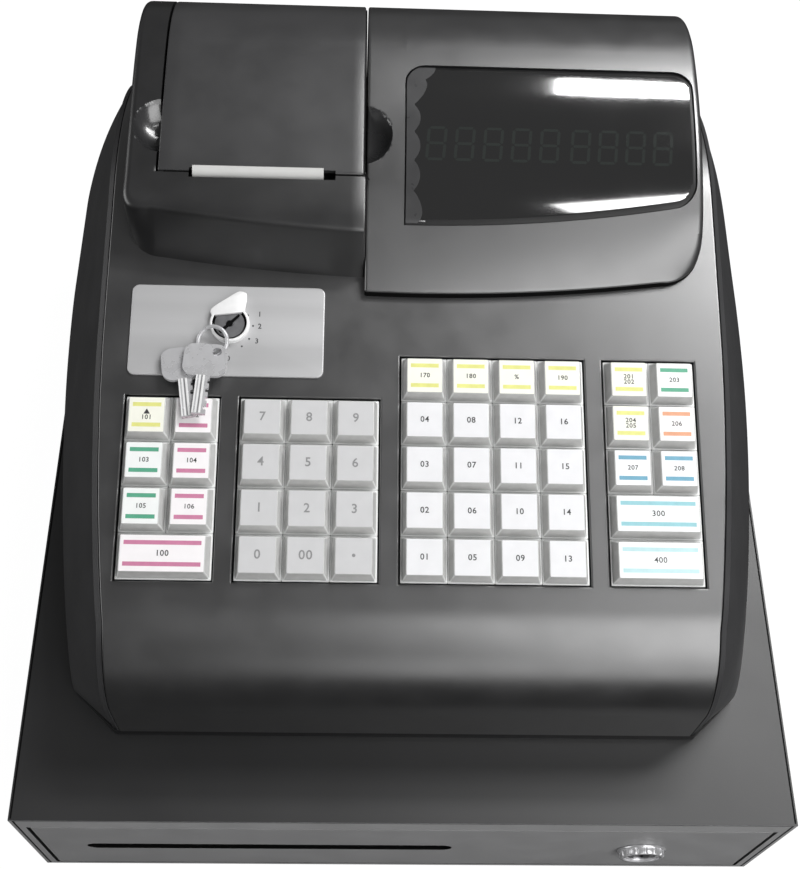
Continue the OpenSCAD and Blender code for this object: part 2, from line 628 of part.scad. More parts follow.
// node name, middle, row, width
LEFT_KEYS = concat([["key_clear", -99.5, 0, 2]],
    [for (r = [1:3], c = [0:1]) [str("key_left_", 2 * (3 - r) + c + 1), key_x_left[c], r, 1]]);
NUM_KEYS = concat([["key_0", key_x_num[0], 0, 1], ["key_00", key_x_num[1], 0, 1], ["key_point", key_x_num[2], 0, 1]],
    [for (r = [1:3], c = [0:2]) [str("key_", 3 * r + c - 2), key_x_num[c], r, 1]]);
RIGHT_KEYS = concat([["key_total", 97.9, 0, 2], ["key_subtotal", 97.9, 1, 2]],
    [for (r = [2:4], c = [0:1]) [str("key_right_", 2 * (4 - r) + c + 1), key_x_right[c], r, 1]]);
KEYS = concat(LEFT_KEYS, NUM_KEYS, RIGHT_KEYS);

module one_key(k) color([0.86, 0.87, 0.86]) from_front() key_cap(k[1], k[2], k[3]);
// a column of department keys
module dept_column(c) color([0.9, 0.9, 0.9]) from_front() for (r = [0:4]) key_cap(key_x_dept[c], r, 1);

drawer_case();
rubber_feet();
front_rollers();
drawer_front();
drawer_box();
cash_tray();
bill_clips();
drawer_lock_collar();
drawer_lock_barrel();
drawer_latch();
ejector_spring();
base_pan();
top_shell();
side_cheek_left();
side_cheek_right();
printer_hood();
display_hood();
display_window();
display_board();
printer_cover();
printer_mechanism();
platen_roller();
paper_roll();
label_plate();
mode_lock_collar();
mode_lock_barrel();
keys_on_ring();
key_deck();
main_board();
for (k = KEYS) one_key(k);
for (c = [0:3]) dept_column(c);
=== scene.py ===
"""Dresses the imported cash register: shells, hoods, keys, locks, drawer and their finishes."""

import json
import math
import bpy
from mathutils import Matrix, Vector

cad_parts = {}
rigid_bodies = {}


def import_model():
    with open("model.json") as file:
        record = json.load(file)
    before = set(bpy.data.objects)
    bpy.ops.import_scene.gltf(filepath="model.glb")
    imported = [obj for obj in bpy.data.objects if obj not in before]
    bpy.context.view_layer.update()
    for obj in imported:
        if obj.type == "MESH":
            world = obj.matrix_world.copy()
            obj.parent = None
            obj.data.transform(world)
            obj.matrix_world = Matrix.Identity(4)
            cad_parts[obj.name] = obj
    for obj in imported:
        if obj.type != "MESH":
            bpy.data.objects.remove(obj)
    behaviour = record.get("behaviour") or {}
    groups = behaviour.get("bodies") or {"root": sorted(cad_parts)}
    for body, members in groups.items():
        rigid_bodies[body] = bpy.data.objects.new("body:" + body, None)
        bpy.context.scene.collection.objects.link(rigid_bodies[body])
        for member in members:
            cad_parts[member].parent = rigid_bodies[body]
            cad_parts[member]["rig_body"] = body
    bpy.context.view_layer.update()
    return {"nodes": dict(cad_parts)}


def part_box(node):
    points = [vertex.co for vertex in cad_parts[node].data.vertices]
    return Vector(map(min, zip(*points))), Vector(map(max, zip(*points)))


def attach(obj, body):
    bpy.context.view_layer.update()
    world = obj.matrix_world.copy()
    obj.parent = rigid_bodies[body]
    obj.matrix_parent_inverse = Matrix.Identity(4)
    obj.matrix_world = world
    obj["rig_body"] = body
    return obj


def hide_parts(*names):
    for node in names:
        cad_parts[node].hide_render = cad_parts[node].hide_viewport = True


bl_info = {
    "name": "Cash Register",
    "version": (1, 0, 0),
    "blender": (4, 5, 0),
    "location": "View3D > Sidebar > Cash Register",
    "description": "Builds the visible shells, keys, locks, display and finishes of a cash register",
    "category": "Add Mesh",
}

import bmesh
import bpy
import numpy as np
from mathutils import Matrix, Vector

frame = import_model()
MM = 0.001


# ---- settings --------------------------------------------------------------------


def srgb(*levels):
    """A colour in linear light, from display levels of 0 to 255."""
    c = np.array(levels) / 255
    return tuple(np.where(c <= 0.04045, c / 12.92, ((c + 0.055) / 1.055) ** 2.4).tolist())


def length(name, description, default):
    """A setting for a length in metres."""
    return bpy.props.FloatProperty(
        name=name, description=description, default=default, min=0.0, unit="LENGTH", precision=5
    )


def tint(name, description, *levels):
    """A setting for a colour, from display levels of 0 to 255."""
    return bpy.props.FloatVectorProperty(
        name=name, description=description, default=srgb(*levels), size=3, min=0, max=1, subtype="COLOR"
    )


def amount(name, description, default, unit="NONE"):
    """A setting for a plain number, an angle or a lens."""
    return bpy.props.FloatProperty(name=name, description=description, default=default, unit=unit)


class RegisterSizes(bpy.types.PropertyGroup):
    """Sizes of the pieces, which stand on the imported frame"""

    label_width: length("Label width", "Width of the printed label in a single key", 0.0141)
    shell_wall: length("Shell wall", "Thickness of the moulded shells", 0.0025)
    edge_round: length("Edge rounding", "Radius of the edges of shells and key wells", 0.0005)
    hood_round: length("Hood rounding", "Radius of the upper edges of the hoods", 0.003)
    scoop_radius: length("Scoop radius", "Radius of the finger scoops seen from above", 0.0129)
    scoop_depth: length("Scoop depth", "Depth of the finger scoops", 0.008)
    digit_height: length("Digit height", "Height of the display's digits", 0.0145)
    digit_stroke: length("Digit stroke", "Width of one stroke of a digit", 0.0013)


class RegisterColours(bpy.types.PropertyGroup):
    """Colours of the finishes"""

    case: tint("Case", "Textured paint of the drawer case", 27, 27, 28)
    front: tint("Drawer front", "Paint of the drawer front", 148, 148, 149)
    frame: tint("Front frame", "Colour of the case's forward-facing faces", 158, 158, 159)
    panel: tint("Panel", "Plastic of the top shell", 30, 30, 31)
    cheek: tint("Cheek", "Plastic of the side cheeks", 58, 58, 59)
    hood: tint("Hood", "Plastic of the display hood", 36, 36, 37)
    base: tint("Base", "Plastic of the base pan", 28, 28, 29)
    smoke: tint("Window", "Smoked plastic of the display window", 5, 5, 6)
    ghost: tint("Digits", "Unlit digits behind the window", 22, 29, 26)
    film: tint("Film", "Clear film at the edge of the window", 60, 60, 61)
    clear: tint("Key cap", "Clear plastic of the key caps", 196, 196, 195)
    clear_edge: tint("Key cap edge highlight", "Painted highlight on the edges of the clear key caps", 238, 239, 238)
    white: tint("White label", "Paper of the white key labels", 232, 232, 234)
    bright: tint("Coloured label", "Paper of the key labels with coloured bars", 250, 250, 250)
    grey: tint("Grey label", "Paper of the number keys", 204, 204, 205)
    yellow: tint("Yellow", "Yellow bars of the key labels", 226, 226, 138)
    pink: tint("Pink", "Pink bars of the key labels", 204, 130, 162)
    green: tint("Green", "Green bars of the key labels", 92, 168, 138)
    blue: tint("Blue", "Blue bars of the key labels", 112, 168, 192)
    cyan: tint("Cyan", "Cyan bars of the key labels", 150, 202, 210)
    pale_cyan: tint("Pale cyan", "Pale bars of the total key", 186, 220, 223)
    orange: tint("Orange", "Orange bars of the key labels", 226, 164, 130)
    ink: tint("Ink", "Print on labels and plate", 62, 62, 64)
    plate: tint("Plate", "Brushed aluminium of the label plate", 190, 190, 191)
    chrome: tint("Chrome", "Plating of locks and keys", 226, 226, 228)
    paper: tint("Paper", "Receipt paper", 208, 208, 206)
    floor: tint("Floor", "Counter or studio floor", 150, 150, 150)


class RegisterStage(bpy.types.PropertyGroup):
    """Camera and lamps"""

    lens: amount("Lens", "Focal length of the camera", 54.5, "CAMERA")
    camera_place: bpy.props.FloatVectorProperty(
        name="Camera place", default=(-0.02565, -0.12554, 0.64628), subtype="TRANSLATION", unit="LENGTH",
        description="Where the camera stands, with its depth counted from the drawer's face",
    )
    camera_pitch: amount("Pitch", "How far the camera looks down", 1.060524, "ROTATION")
    camera_roll: amount("Roll", "Turn of the picture", -0.082243, "ROTATION")
    camera_yaw: amount("Yaw", "Turn of the camera to the left", -0.074168, "ROTATION")
    rear: amount("Rear lamp", "Radiance of the rear soft box", 30.0)
    front: amount("Front lamp", "Radiance of the front soft box", 3.3)
    right: amount("Right lamp", "Radiance of the soft box on the right", 13.0)
    low: amount("Low lamp", "Radiance of the low soft box in front", 1.8)
    key: amount("Key lamp", "Radiance of the main lamp behind on the right", 17.0)
    left: amount("Left lamp", "Radiance of the low soft box on the left", 2.2)
    strip: amount("Strip lamp", "Radiance of the slim soft box", 7.0)
    sky: amount("Ambient light", "Strength of the even light around", 0.12)


# ---- places ------------------------------------------------------------------------
# Points are (x, depth, height) in millimetres: depth counts from the face of the drawer
# case towards the back, height from the counter. place() brings them into the frame.


def node_box(name):
    """Lowest and highest corner of a CAD node in millimetres."""
    low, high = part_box(name)
    return np.array(low) / MM, np.array(high) / MM


# deck: top of the drawer case, base: foot of the body. The body's side line runs round the nose, up the
# panel's slope and round the back roll; the key labels lie over the panel by the drop.
CASE_LOW, CASE_HIGH = node_box("drawer_case")
FRONT_Y = CASE_LOW[1]
DECK_Z = CASE_HIGH[2]
HOOD_Z = node_box("printer_hood")[1][2]
BASE_Z = DECK_Z + 5.0
LABEL_D, LABEL_Z, PANEL_DROP = 85.6, BASE_Z + 74.6, 4.5
NOSE_D, NOSE_R = node_box("top_shell")[0][1] - FRONT_Y, 42.0
ROLL_D, ROLL_R = 245.5, 90.0
SLOPE = math.radians(12.4)
SIN, COS, TAN = math.sin(SLOPE), math.cos(SLOPE), math.tan(SLOPE)
PANEL_POINT = (LABEL_D + PANEL_DROP * SIN, LABEL_Z - PANEL_DROP * COS)

# middles of the keys across, and the wells round them as left end, right end and rows
KEY_LEFT, KEY_NUMBERS = (-109.0, -90.0), (-62.3, -43.3, -24.3)
KEY_DEPARTMENTS, KEY_RIGHT = (3.75, 22.75, 41.75, 60.75), (88.4, 107.4)
PITCH, WELL_GAP = 19.0, 0.6
WELLS = [
    (KEY_LEFT[0], KEY_LEFT[-1], 4),
    (KEY_NUMBERS[0], KEY_NUMBERS[-1], 4),
    (KEY_DEPARTMENTS[0], KEY_DEPARTMENTS[-1], 5),
    (KEY_RIGHT[0], KEY_RIGHT[-1], 5),
]
LOCK_X, LOCK_S, LOCK_HOLE = -77.5, 98.0, 7.2
SLOT_Z = 41.5
PANEL_HALF, CHEEK_HALF = 130.0, 158.5
# openings of the top shell, from and to (x, depth, height): under printer and display, and at the mains inlet
SHELL_OPENINGS = [
    ((-106, 218, 150), (-25, 340, math.inf)),
    ((-2, 218, 150), (118, 296, math.inf)),
    ((88, 350, 101), (112, math.inf, 119)),
]
# the cheek's shoulder from the side: half an ellipse in front, a level line, half an ellipse behind
SHOULDER_D, SHOULDER_REACH, SHOULDER_RISE = (201, 314), (147, 36), 34


def place(points):
    """Brings points from (x, depth, height) in millimetres into the frame in metres."""
    return (np.asarray(points, float).reshape(-1, 3) + (0, FRONT_Y, 0)) * MM


def panel_z(depth):
    """Height of the keyboard panel's plane over a depth."""
    return PANEL_POINT[1] + (depth - PANEL_POINT[0]) * TAN


def on_keys(points):
    """Turns (x, way up the slope, height over the labels) into (x, depth, height)."""
    x, s, w = np.moveaxis(np.asarray(points, float), -1, 0)
    return np.stack([x, LABEL_D + s * COS - w * SIN, LABEL_Z + s * SIN + w * COS], -1)


def arc(centre, radius, start, end, count):
    """Points centre + radius · (cos a, sin a) for count + 1 angles from start to end, in degrees."""
    a = np.radians(np.linspace(start, end, count + 1))
    return np.stack([centre[0] + radius * np.cos(a), centre[1] + radius * np.sin(a)], -1)


def lerp(a, b, t):
    """The share t of the way from a to b."""
    return a + (b - a) * t


def smooth_step(t):
    """An even ramp from 0 to 1 that starts and ends level: 3t² − 2t³."""
    t = np.clip(t, 0, 1)
    return t * t * (3 - 2 * t)


def rolled(near, radius):
    """How far a quarter circle has dropped at a distance from where it starts: radius − √(radius² − near²)."""
    return radius - np.sqrt(np.maximum(radius * radius - near * near, 0))


def cells(grid):
    """Mean of the four corners of every cell of a grid."""
    return (grid[:-1, :-1] + grid[1:, :-1] + grid[:-1, 1:] + grid[1:, 1:]) / 4


def at_x(x, line):
    """Points (x, depth, height) from a grid of (depth, height), with x for each point, each column or all."""
    return np.concatenate([np.broadcast_to(x, line.shape[:2])[..., None], line], -1)


def at_level(points, level):
    """Flat points (x, way up the slope) at one height over the labels."""
    return np.concatenate([points, np.full((len(points), 1), level)], 1)


def turned(points, degrees, first, second):
    """Turns points in the plane of two of their axes: (u cos a − v sin a, u sin a + v cos a)."""
    cos, sin = math.cos(math.radians(degrees)), math.sin(math.radians(degrees))
    u, v, points = points[..., first], points[..., second], points.copy()
    points[..., first], points[..., second] = u * cos - v * sin, u * sin + v * cos
    return points


def placed(middle, right, up, back):
    """Matrix of a thing that stands at a place with its own axes along three directions."""
    return Matrix.Translation(middle) @ Matrix((right, up, back)).transposed().to_4x4()


def smooth_line(points, per_span=12):
    """A Catmull-Rom curve: each span is the cubic that leaves its end points along the line between their
    neighbours."""
    p = np.asarray(points, float)
    p = np.vstack([2 * p[0] - p[1], p, 2 * p[-1] - p[-2]])
    t = np.linspace(0, 1, per_span, endpoint=False)[:, None]
    a, b, c, d = p[:-3, None], p[1:-2, None], p[2:-1, None], p[3:, None]
    curve = 0.5 * (2 * b + (c - a) * t + (2 * a - 5 * b + 4 * c - d) * t**2 + (3 * b - a - 3 * c + d) * t**3)
    return np.vstack([curve.reshape(-1, p.shape[1]), p[-2]])


def normals_2d(path):
    """Unit normals on the left of a path, from the central difference of its points."""
    t = np.gradient(path, axis=0)
    t /= np.maximum(np.linalg.norm(t, axis=1), 1e-9)[:, None]
    return np.stack([-t[:, 1], t[:, 0]], 1)


NOSE_FLAT_D = NOSE_D + NOSE_R * (1 - SIN)
NOSE_C = (NOSE_D + NOSE_R, panel_z(NOSE_FLAT_D) - NOSE_R * COS)
ROLL_C = (ROLL_D + ROLL_R * SIN, panel_z(ROLL_D) - ROLL_R * COS)
BACK_D = ROLL_C[0] + ROLL_R
SLOPE_DEG = math.degrees(SLOPE)


def body_z(depth):
    """Height of the body's upper side over a depth: the panel's plane, then the arc of the back roll."""
    reach = np.clip(np.asarray(depth, float) - ROLL_C[0], None, ROLL_R - 0.01)
    return np.where(depth < ROLL_D, panel_z(depth), ROLL_C[1] + np.sqrt(ROLL_R**2 - reach**2))


def drawn_in(away, reach, most, power=2):
    """How far a width is drawn in: most · (away ÷ reach) to the power, from where away is 0."""
    return most * (np.clip(away, 0, None) / reach) ** power


def panel_half(depth):
    """Half of the panel's width, drawn in by a parabola in front of the hoods."""
    return PANEL_HALF - drawn_in(185 - np.maximum(depth, 60), 125, 8)


def cheek_half(depth):
    """Half of the width over the cheeks, drawn in at the front by a power of 1.6 and behind by a parabola."""
    return CHEEK_HALF - drawn_in(240 - np.maximum(depth, 54), 186, 15.5, 1.6) - drawn_in(depth - 290, 62, 12)


# ---- meshes ------------------------------------------------------------------------


class Skin:
    """Gathers the grids and faces of one piece, each with the number of its finish."""

    def __init__(self):
        self.points, self.faces, self.marks, self.total = [], [], [], 0

    def add(self, points, faces, marks=0):
        """Adds points and faces that count from the first of them."""
        points = np.asarray(points, float).reshape(-1, 3)
        faces = [[i + self.total for i in f] for f in faces]
        self.points.append(points)
        self.faces += faces
        self.marks += np.broadcast_to(marks, len(faces)).tolist()
        self.total += len(points)

    def grid(self, points, marks=0, keep=None, ring=False):
        """Adds a grid (rows × columns × 3) as four-sided faces; ring joins the last column to the first."""
        rows, cols = points.shape[:2]
        n = np.arange(rows * cols).reshape(rows, cols)
        if ring:
            n = np.hstack([n, n[:, :1]])
        quads = np.stack([n[:-1, :-1], n[:-1, 1:], n[1:, 1:], n[1:, :-1]], -1)
        keep = np.ones(quads.shape[:2], bool) if keep is None else keep
        self.add(points, quads[keep].tolist(), np.broadcast_to(marks, quads.shape[:2])[keep])

    def make(self, name, body, finishes, slot=None, replaces=(), wall=0.0, bevel=0.0, smooth=32, mend=True):
        """Makes the object from all that was added."""
        mesh = bpy.data.meshes.new(name)
        mesh.from_pydata(place(np.vstack(self.points)).tolist(), [], self.faces)
        mesh.polygons.foreach_set("material_index", np.array(self.marks, np.int32))
        return settle(name, mesh, body, finishes, replaces, wall, bevel, smooth, mend)


def one_grid(points, *piece, marks=0, keep=None, ring=False, **how):
    """Makes an object from a single grid."""
    skin = Skin()
    skin.grid(points, marks, keep, ring)
    return skin.make(*piece, **how)


def settle(name, mesh, body, finishes, replaces, wall=0.0, bevel=0.0, smooth=32, mend=True):
    """Makes a mesh a piece of a body: merges doubles, turns faces outwards unless mend is off, gives walls a
    thickness and rounds edges."""
    work = bmesh.new()
    work.from_mesh(mesh)
    bmesh.ops.remove_doubles(work, verts=work.verts, dist=0.004 * MM)
    bmesh.ops.dissolve_degenerate(work, edges=work.edges, dist=0.001 * MM)
    if mend:
        bmesh.ops.recalc_face_normals(work, faces=work.faces)
        middle = sum((v.co for v in work.verts), Vector()) / len(work.verts)
        outward = sum(f.calc_area() * f.normal.dot(f.calc_center_median() - middle) for f in work.faces)
        if outward < 0:
            bmesh.ops.reverse_faces(work, faces=work.faces)
    work.to_mesh(mesh)
    work.free()
    for f in finishes if isinstance(finishes, (list, tuple)) else [finishes]:
        mesh.materials.append(f)
    mesh.shade_smooth()
    mesh.set_sharp_from_angle(angle=math.radians(smooth))
    sharpen_borders(mesh)
    piece = bpy.data.objects.new(name, mesh)
    bpy.context.scene.collection.objects.link(piece)
    if wall:
        m = piece.modifiers.new("wall", "SOLIDIFY")
        m.thickness, m.offset = wall * MM, -1
    if bevel:
        m = piece.modifiers.new("soft edges", "BEVEL")
        m.width, m.segments, m.limit_method = bevel * MM, 2, "ANGLE"
        m.angle_limit, m.harden_normals = math.radians(38), True
    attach(piece, body)
    if replaces:
        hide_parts(*([replaces] if isinstance(replaces, str) else replaces))
    return piece


def sharpen_borders(mesh):
    """Marks edges with a single face as sharp, so that a wall grown from them keeps a crisp edge."""
    edge_of_loop = np.empty(len(mesh.loops), np.int32)
    mesh.loops.foreach_get("edge_index", edge_of_loop)
    border = np.bincount(edge_of_loop, minlength=len(mesh.edges)) == 1
    sharp = mesh.attributes.get("sharp_edge") or mesh.attributes.new("sharp_edge", "BOOLEAN", "EDGE")
    marked = np.empty(len(mesh.edges), bool)
    sharp.data.foreach_get("value", marked)
    sharp.data.foreach_set("value", marked | border)


def body_of(node):
    """Name of the body that a CAD node rides on."""
    return frame["nodes"][node]["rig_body"]


def read(items, name, width=3):
    """One attribute of a mesh's vertices or faces as an array."""
    values = np.empty(len(items) * width)
    items.foreach_get(name, values)
    return values.reshape(-1, width)


def softened(name, node, finish, bevel, smooth=32, mark=None):
    """A copy of a CAD node with doubles merged, flat faces joined and its edges rounded. mark gives each face
    the number of its finish, from the faces' middles in (x, depth, height) and their normals."""
    source = frame["nodes"][node].data
    corners = np.empty(len(source.loops), np.int32)
    source.loops.foreach_get("vertex_index", corners)
    mesh = bpy.data.meshes.new(name)
    mesh.from_pydata(read(source.vertices, "co").tolist(), [], corners.reshape(-1, 3).tolist())
    work = bmesh.new()
    work.from_mesh(mesh)
    bmesh.ops.remove_doubles(work, verts=work.verts, dist=0.002 * MM)
    bmesh.ops.dissolve_limit(work, angle_limit=math.radians(0.5), verts=work.verts, edges=work.edges)
    work.to_mesh(mesh)
    work.free()
    if mark:
        marks = mark(read(mesh.polygons, "center") / MM - (0, FRONT_Y, 0), read(mesh.polygons, "normal"))
        mesh.polygons.foreach_set("material_index", marks.astype(np.int32))
    return settle(name, mesh, body_of(node), finish, node, bevel=bevel, smooth=smooth, mend=False)


def revolve(profile, count=48):
    """Turns a profile of (radius, height) round the height axis: points (r cos a, r sin a, h), with rows along
    the profile."""
    a = np.radians(np.arange(count) * 360 / count)
    r, h = np.asarray(profile, float).T[..., None]
    return np.stack([r * np.cos(a), r * np.sin(a), np.broadcast_to(h, (len(r), count))], -1)


def round_rect(half_x, half_y, radius, per_corner=4):
    """A rounded rectangle round the origin: quarter circles about its four corner centres."""
    a = np.radians(np.linspace(0, 90, per_corner + 1))
    turns = np.concatenate([a + k * math.pi / 2 for k in range(4)])
    sign = np.array([(1, 1), (-1, 1), (-1, -1), (1, -1)], float).repeat(per_corner + 1, 0)
    return sign * (half_x - radius, half_y - radius) + radius * np.stack([np.cos(turns), np.sin(turns)], 1)


def lettering(text, height, weight=0.02, space=1.1):
    """Flat letters of Blender's own font, centred on the origin: points in millimetres and faces."""
    curve = bpy.data.curves.new("lettering", "FONT")
    curve.body, curve.size = text, height / 0.7 * MM
    curve.align_x, curve.align_y, curve.resolution_u = "CENTER", "CENTER", 3
    curve.offset, curve.space_character, curve.space_line = weight * height * MM, space, 0.85
    thing = bpy.data.objects.new("lettering", curve)
    bpy.context.scene.collection.objects.link(thing)
    mesh = bpy.data.meshes.new_from_object(thing.evaluated_get(bpy.context.evaluated_depsgraph_get()))
    points, faces = read(mesh.vertices, "co")[:, :2] / MM, [list(p.vertices) for p in mesh.polygons]
    bpy.data.objects.remove(thing)
    bpy.data.curves.remove(curve)
    bpy.data.meshes.remove(mesh)
    return points, faces


# ---- finishes ----------------------------------------------------------------------


def finish(
    name, colour, roughness, metallic=0.0, specular=0.5, ior=1.5, coat=0.0, coat_roughness=0.08, mottle=0.05,
    mottle_size=18.0, grain=0.0, grain_size=0.5, stretch=(1, 1, 1), edge=None, rough_spread=0.12,
):
    """A procedural finish: mottled colour and roughness from one noise, surface grain from a finer one, both in
    Object coordinates. edge is a second colour that the piece's "edge" attribute mixes in, used as a painted
    highlight."""
    material = bpy.data.materials.new(name)
    material.use_nodes = True
    nodes, links = material.node_tree.nodes, material.node_tree.links
    shader = nodes["Principled BSDF"]
    shader.inputs["Metallic"].default_value = metallic
    shader.inputs["Specular IOR Level"].default_value = specular
    shader.inputs["IOR"].default_value = ior
    shader.inputs["Coat Weight"].default_value = coat
    shader.inputs["Coat Roughness"].default_value = coat_roughness
    place_node = nodes.new("ShaderNodeTexCoord")
    mapping = nodes.new("ShaderNodeMapping")
    mapping.inputs["Scale"].default_value = stretch
    links.new(place_node.outputs["Object"], mapping.inputs["Vector"])

    def noise(size, detail):
        node = nodes.new("ShaderNodeTexNoise")
        node.inputs["Scale"].default_value = 1 / (size * MM)
        node.inputs["Detail"].default_value = detail
        links.new(mapping.outputs["Vector"], node.inputs["Vector"])
        return node.outputs["Fac"]

    def spread(value, low, high):
        node = nodes.new("ShaderNodeMapRange")
        node.inputs["From Min"].default_value, node.inputs["From Max"].default_value = 0.3, 0.7
        node.inputs["To Min"].default_value, node.inputs["To Max"].default_value = low, high
        links.new(value, node.inputs["Value"])
        return node.outputs["Result"]

    def mix(factor, a, b):
        node = nodes.new("ShaderNodeMix")
        node.data_type = "RGBA"
        links.new(factor, node.inputs["Factor"])
        for socket, value in ((node.inputs[6], a), (node.inputs[7], b)):
            if isinstance(value, tuple):
                socket.default_value = value
            else:
                links.new(value, socket)
        return node.outputs[2]

    def shaded(c, share):
        return tuple(min(1.0, v * share) for v in c) + (1.0,)

    coarse = noise(mottle_size, 4)
    colour = tuple(colour)
    base = mix(spread(coarse, 0, 1), shaded(colour, 1 - mottle), shaded(colour, 1 + mottle))
    if edge is not None:
        attribute = nodes.new("ShaderNodeAttribute")
        attribute.attribute_name = "edge"
        base = mix(attribute.outputs["Fac"], base, shaded(tuple(edge), 1.0))
    links.new(base, shader.inputs["Base Color"])
    links.new(
        spread(coarse, max(0.02, roughness * (1 - rough_spread)), min(1, roughness * (1 + rough_spread))),
        shader.inputs["Roughness"],
    )
    if grain:
        bump = nodes.new("ShaderNodeBump")
        bump.inputs["Strength"].default_value = 1.0
        bump.inputs["Distance"].default_value = grain * MM
        links.new(noise(grain_size, 2), bump.inputs["Height"])
        links.new(bump.outputs["Normal"], shader.inputs["Normal"])
    return material


_made = {}


def finishes():
    """All finishes by name, made once."""
    if _made:
        return _made
    c = bpy.context.scene.register_colours
    plastic = dict(
        roughness=0.36, specular=1.0, ior=1.7, coat=1.0, coat_roughness=0.3, mottle=0.06, grain=0.022,
        grain_size=0.45,
    )
    satin = {**plastic, "specular": 0.8, "ior": 1.5, "coat": 0.6}
    dull = {**plastic, "specular": 0.25, "ior": 1.5, "coat": 0.0}
    metal = dict(metallic=1.0, rough_spread=0.3)
    card = dict(roughness=0.32, coat=0.25, mottle=0.02, mottle_size=6)
    _made.update(
        case=finish(
            "case paint", c.case, 0.46, specular=0.5, coat=0.5, coat_roughness=0.46, grain=0.02, grain_size=0.9,
            mottle=0.04, mottle_size=60,
        ),
        front=finish("front paint", c.front, 0.46, grain=0.025, grain_size=0.9, mottle=0.04),
        frame=finish("front frame colour", c.frame, 0.46, grain=0.025, grain_size=0.9, mottle=0.03),
        panel=finish("panel plastic", c.panel, **plastic),
        cheek=finish("cheek plastic", c.cheek, **dull),
        hood=finish("hood plastic", c.hood, **plastic),
        printer=finish("printer hood plastic", srgb(24, 24, 25), **satin),
        cover=finish("cover plastic", srgb(54, 54, 55), **satin),
        base=finish("base plastic", c.base, **dull),
        # painted sheen in part: the scoops are polished, and their colour is lighter than the hoods' to add
        # brightness
        polished=finish("polished scoop plastic with painted sheen", srgb(46, 46, 47), 0.27, specular=1.0, coat=1.0, mottle=0.05),
        smoke=finish(
            "smoked window", c.smoke, 0.05, specular=1.0, ior=1.9, coat=1.0, mottle=0.03, rough_spread=0.3
        ),
        ghost=finish("unlit digits", c.ghost, 0.07, specular=1.0, ior=1.9, coat=1.0, mottle=0.08),
        film=finish("clear film", c.film, 0.3, mottle=0.08, mottle_size=9),
        clear=finish("clear key cap", c.clear, 0.2, coat=0.5, mottle=0.07, mottle_size=4, edge=c.clear_edge),
        white=finish("white label", c.white, **card),
        grey=finish("grey label", c.grey, **card),
        ink=finish("label ink", c.ink, 0.35, coat=0.25, mottle=0.1, mottle_size=2),
        soft_ink=finish("soft ink", srgb(142, 142, 143), 0.35, coat=0.25, mottle=0.1, mottle_size=2),
        plate=finish(
            "brushed plate", c.plate, 0.4, metallic=0.25, mottle=0.06, mottle_size=14, grain=0.012,
            grain_size=0.6, stretch=(0.04, 1, 1),
        ),
        chrome=finish("chrome", c.chrome, 0.2, metallic=0.55, rough_spread=0.3, mottle=0.04),
        lock_face=finish("lock face", srgb(128, 128, 130), 0.4, metallic=0.6, mottle=0.1, mottle_size=3),
        lens_rim=finish("lens rim", c.smoke, 0.42, specular=0.4),
        # painted shade: near-black laid where slots, gaps, bores and undercuts would be in shadow
        shade=finish("painted shade", srgb(7, 7, 7), 0.7, specular=0.1, mottle=0.1),
        steel=finish("lock steel", srgb(150, 150, 152), 0.35, mottle=0.08, mottle_size=3, **metal),
        key_metal=finish("key plating", srgb(206, 206, 208), 0.28, metallic=0.4, mottle=0.06, mottle_size=5),
        # painted sheen: near-white for plated metal that mirrors a lamp, on the mode lock's collar and tab and
        # the key blades' streaks
        key_shine=finish("painted sheen", srgb(246, 246, 246), 0.25, metallic=0.15, mottle=0.03, mottle_size=3),
        # painted shade in the milled groove of the key blades
        key_groove=finish("painted groove shade", srgb(150, 150, 152), 0.35, metallic=0.4, mottle=0.08, mottle_size=3),
        zinc=finish("zinc sheet", srgb(176, 178, 180), 0.38, mottle=0.12, mottle_size=7, **metal),
        yellow_zinc=finish("yellow zinc", srgb(196, 184, 140), 0.35, mottle=0.15, mottle_size=5, **metal),
        spring=finish("spring steel", srgb(186, 186, 188), 0.25, mottle=0.06, **metal),
        dark_steel=finish("clip steel", srgb(92, 92, 94), 0.35, mottle=0.1, **metal),
        tray=finish("tray plastic", srgb(44, 44, 46), 0.5, mottle=0.05, grain=0.02, grain_size=0.6),
        rubber=finish("rubber", srgb(26, 26, 26), 0.75, mottle=0.12, grain=0.05, grain_size=0.8),
        nylon=finish("nylon", srgb(214, 212, 204), 0.42, mottle=0.04),
        board=finish("circuit board", srgb(32, 84, 52), 0.35, mottle=0.2, mottle_size=3, coat=0.3),
        inner=finish("inner plastic", srgb(58, 58, 60), 0.5, mottle=0.06, grain=0.02),
        paper=finish("receipt paper", c.paper, 0.7, mottle=0.03, mottle_size=12, grain=0.01, grain_size=0.3),
    )
    for label in ("yellow", "pink", "green", "blue", "cyan", "pale_cyan", "orange"):
        colour = getattr(c, label)
        paper = tuple(lerp(np.array(c.bright), np.array(colour), 0.2 if label == "yellow" else 0.07).tolist())
        _made[label] = finish(label + " print", colour, 0.34, coat=0.25, mottle=0.05, mottle_size=3)
        _made[label + "_label"] = finish(label + " label", paper, **card)
    return _made


def repaint(node, name):
    """Gives one of the finishes to a CAD node that stays visible."""
    mesh = frame["nodes"][node].data
    mesh.materials.clear()
    mesh.materials.append(finishes()[name])


# ---- operators ---------------------------------------------------------------------


class BuildOperator(bpy.types.Operator):
    """Builds pieces of the register"""

    bl_options = {"REGISTER", "UNDO"}

    def execute(self, context):
        self.build()
        return {"FINISHED"}


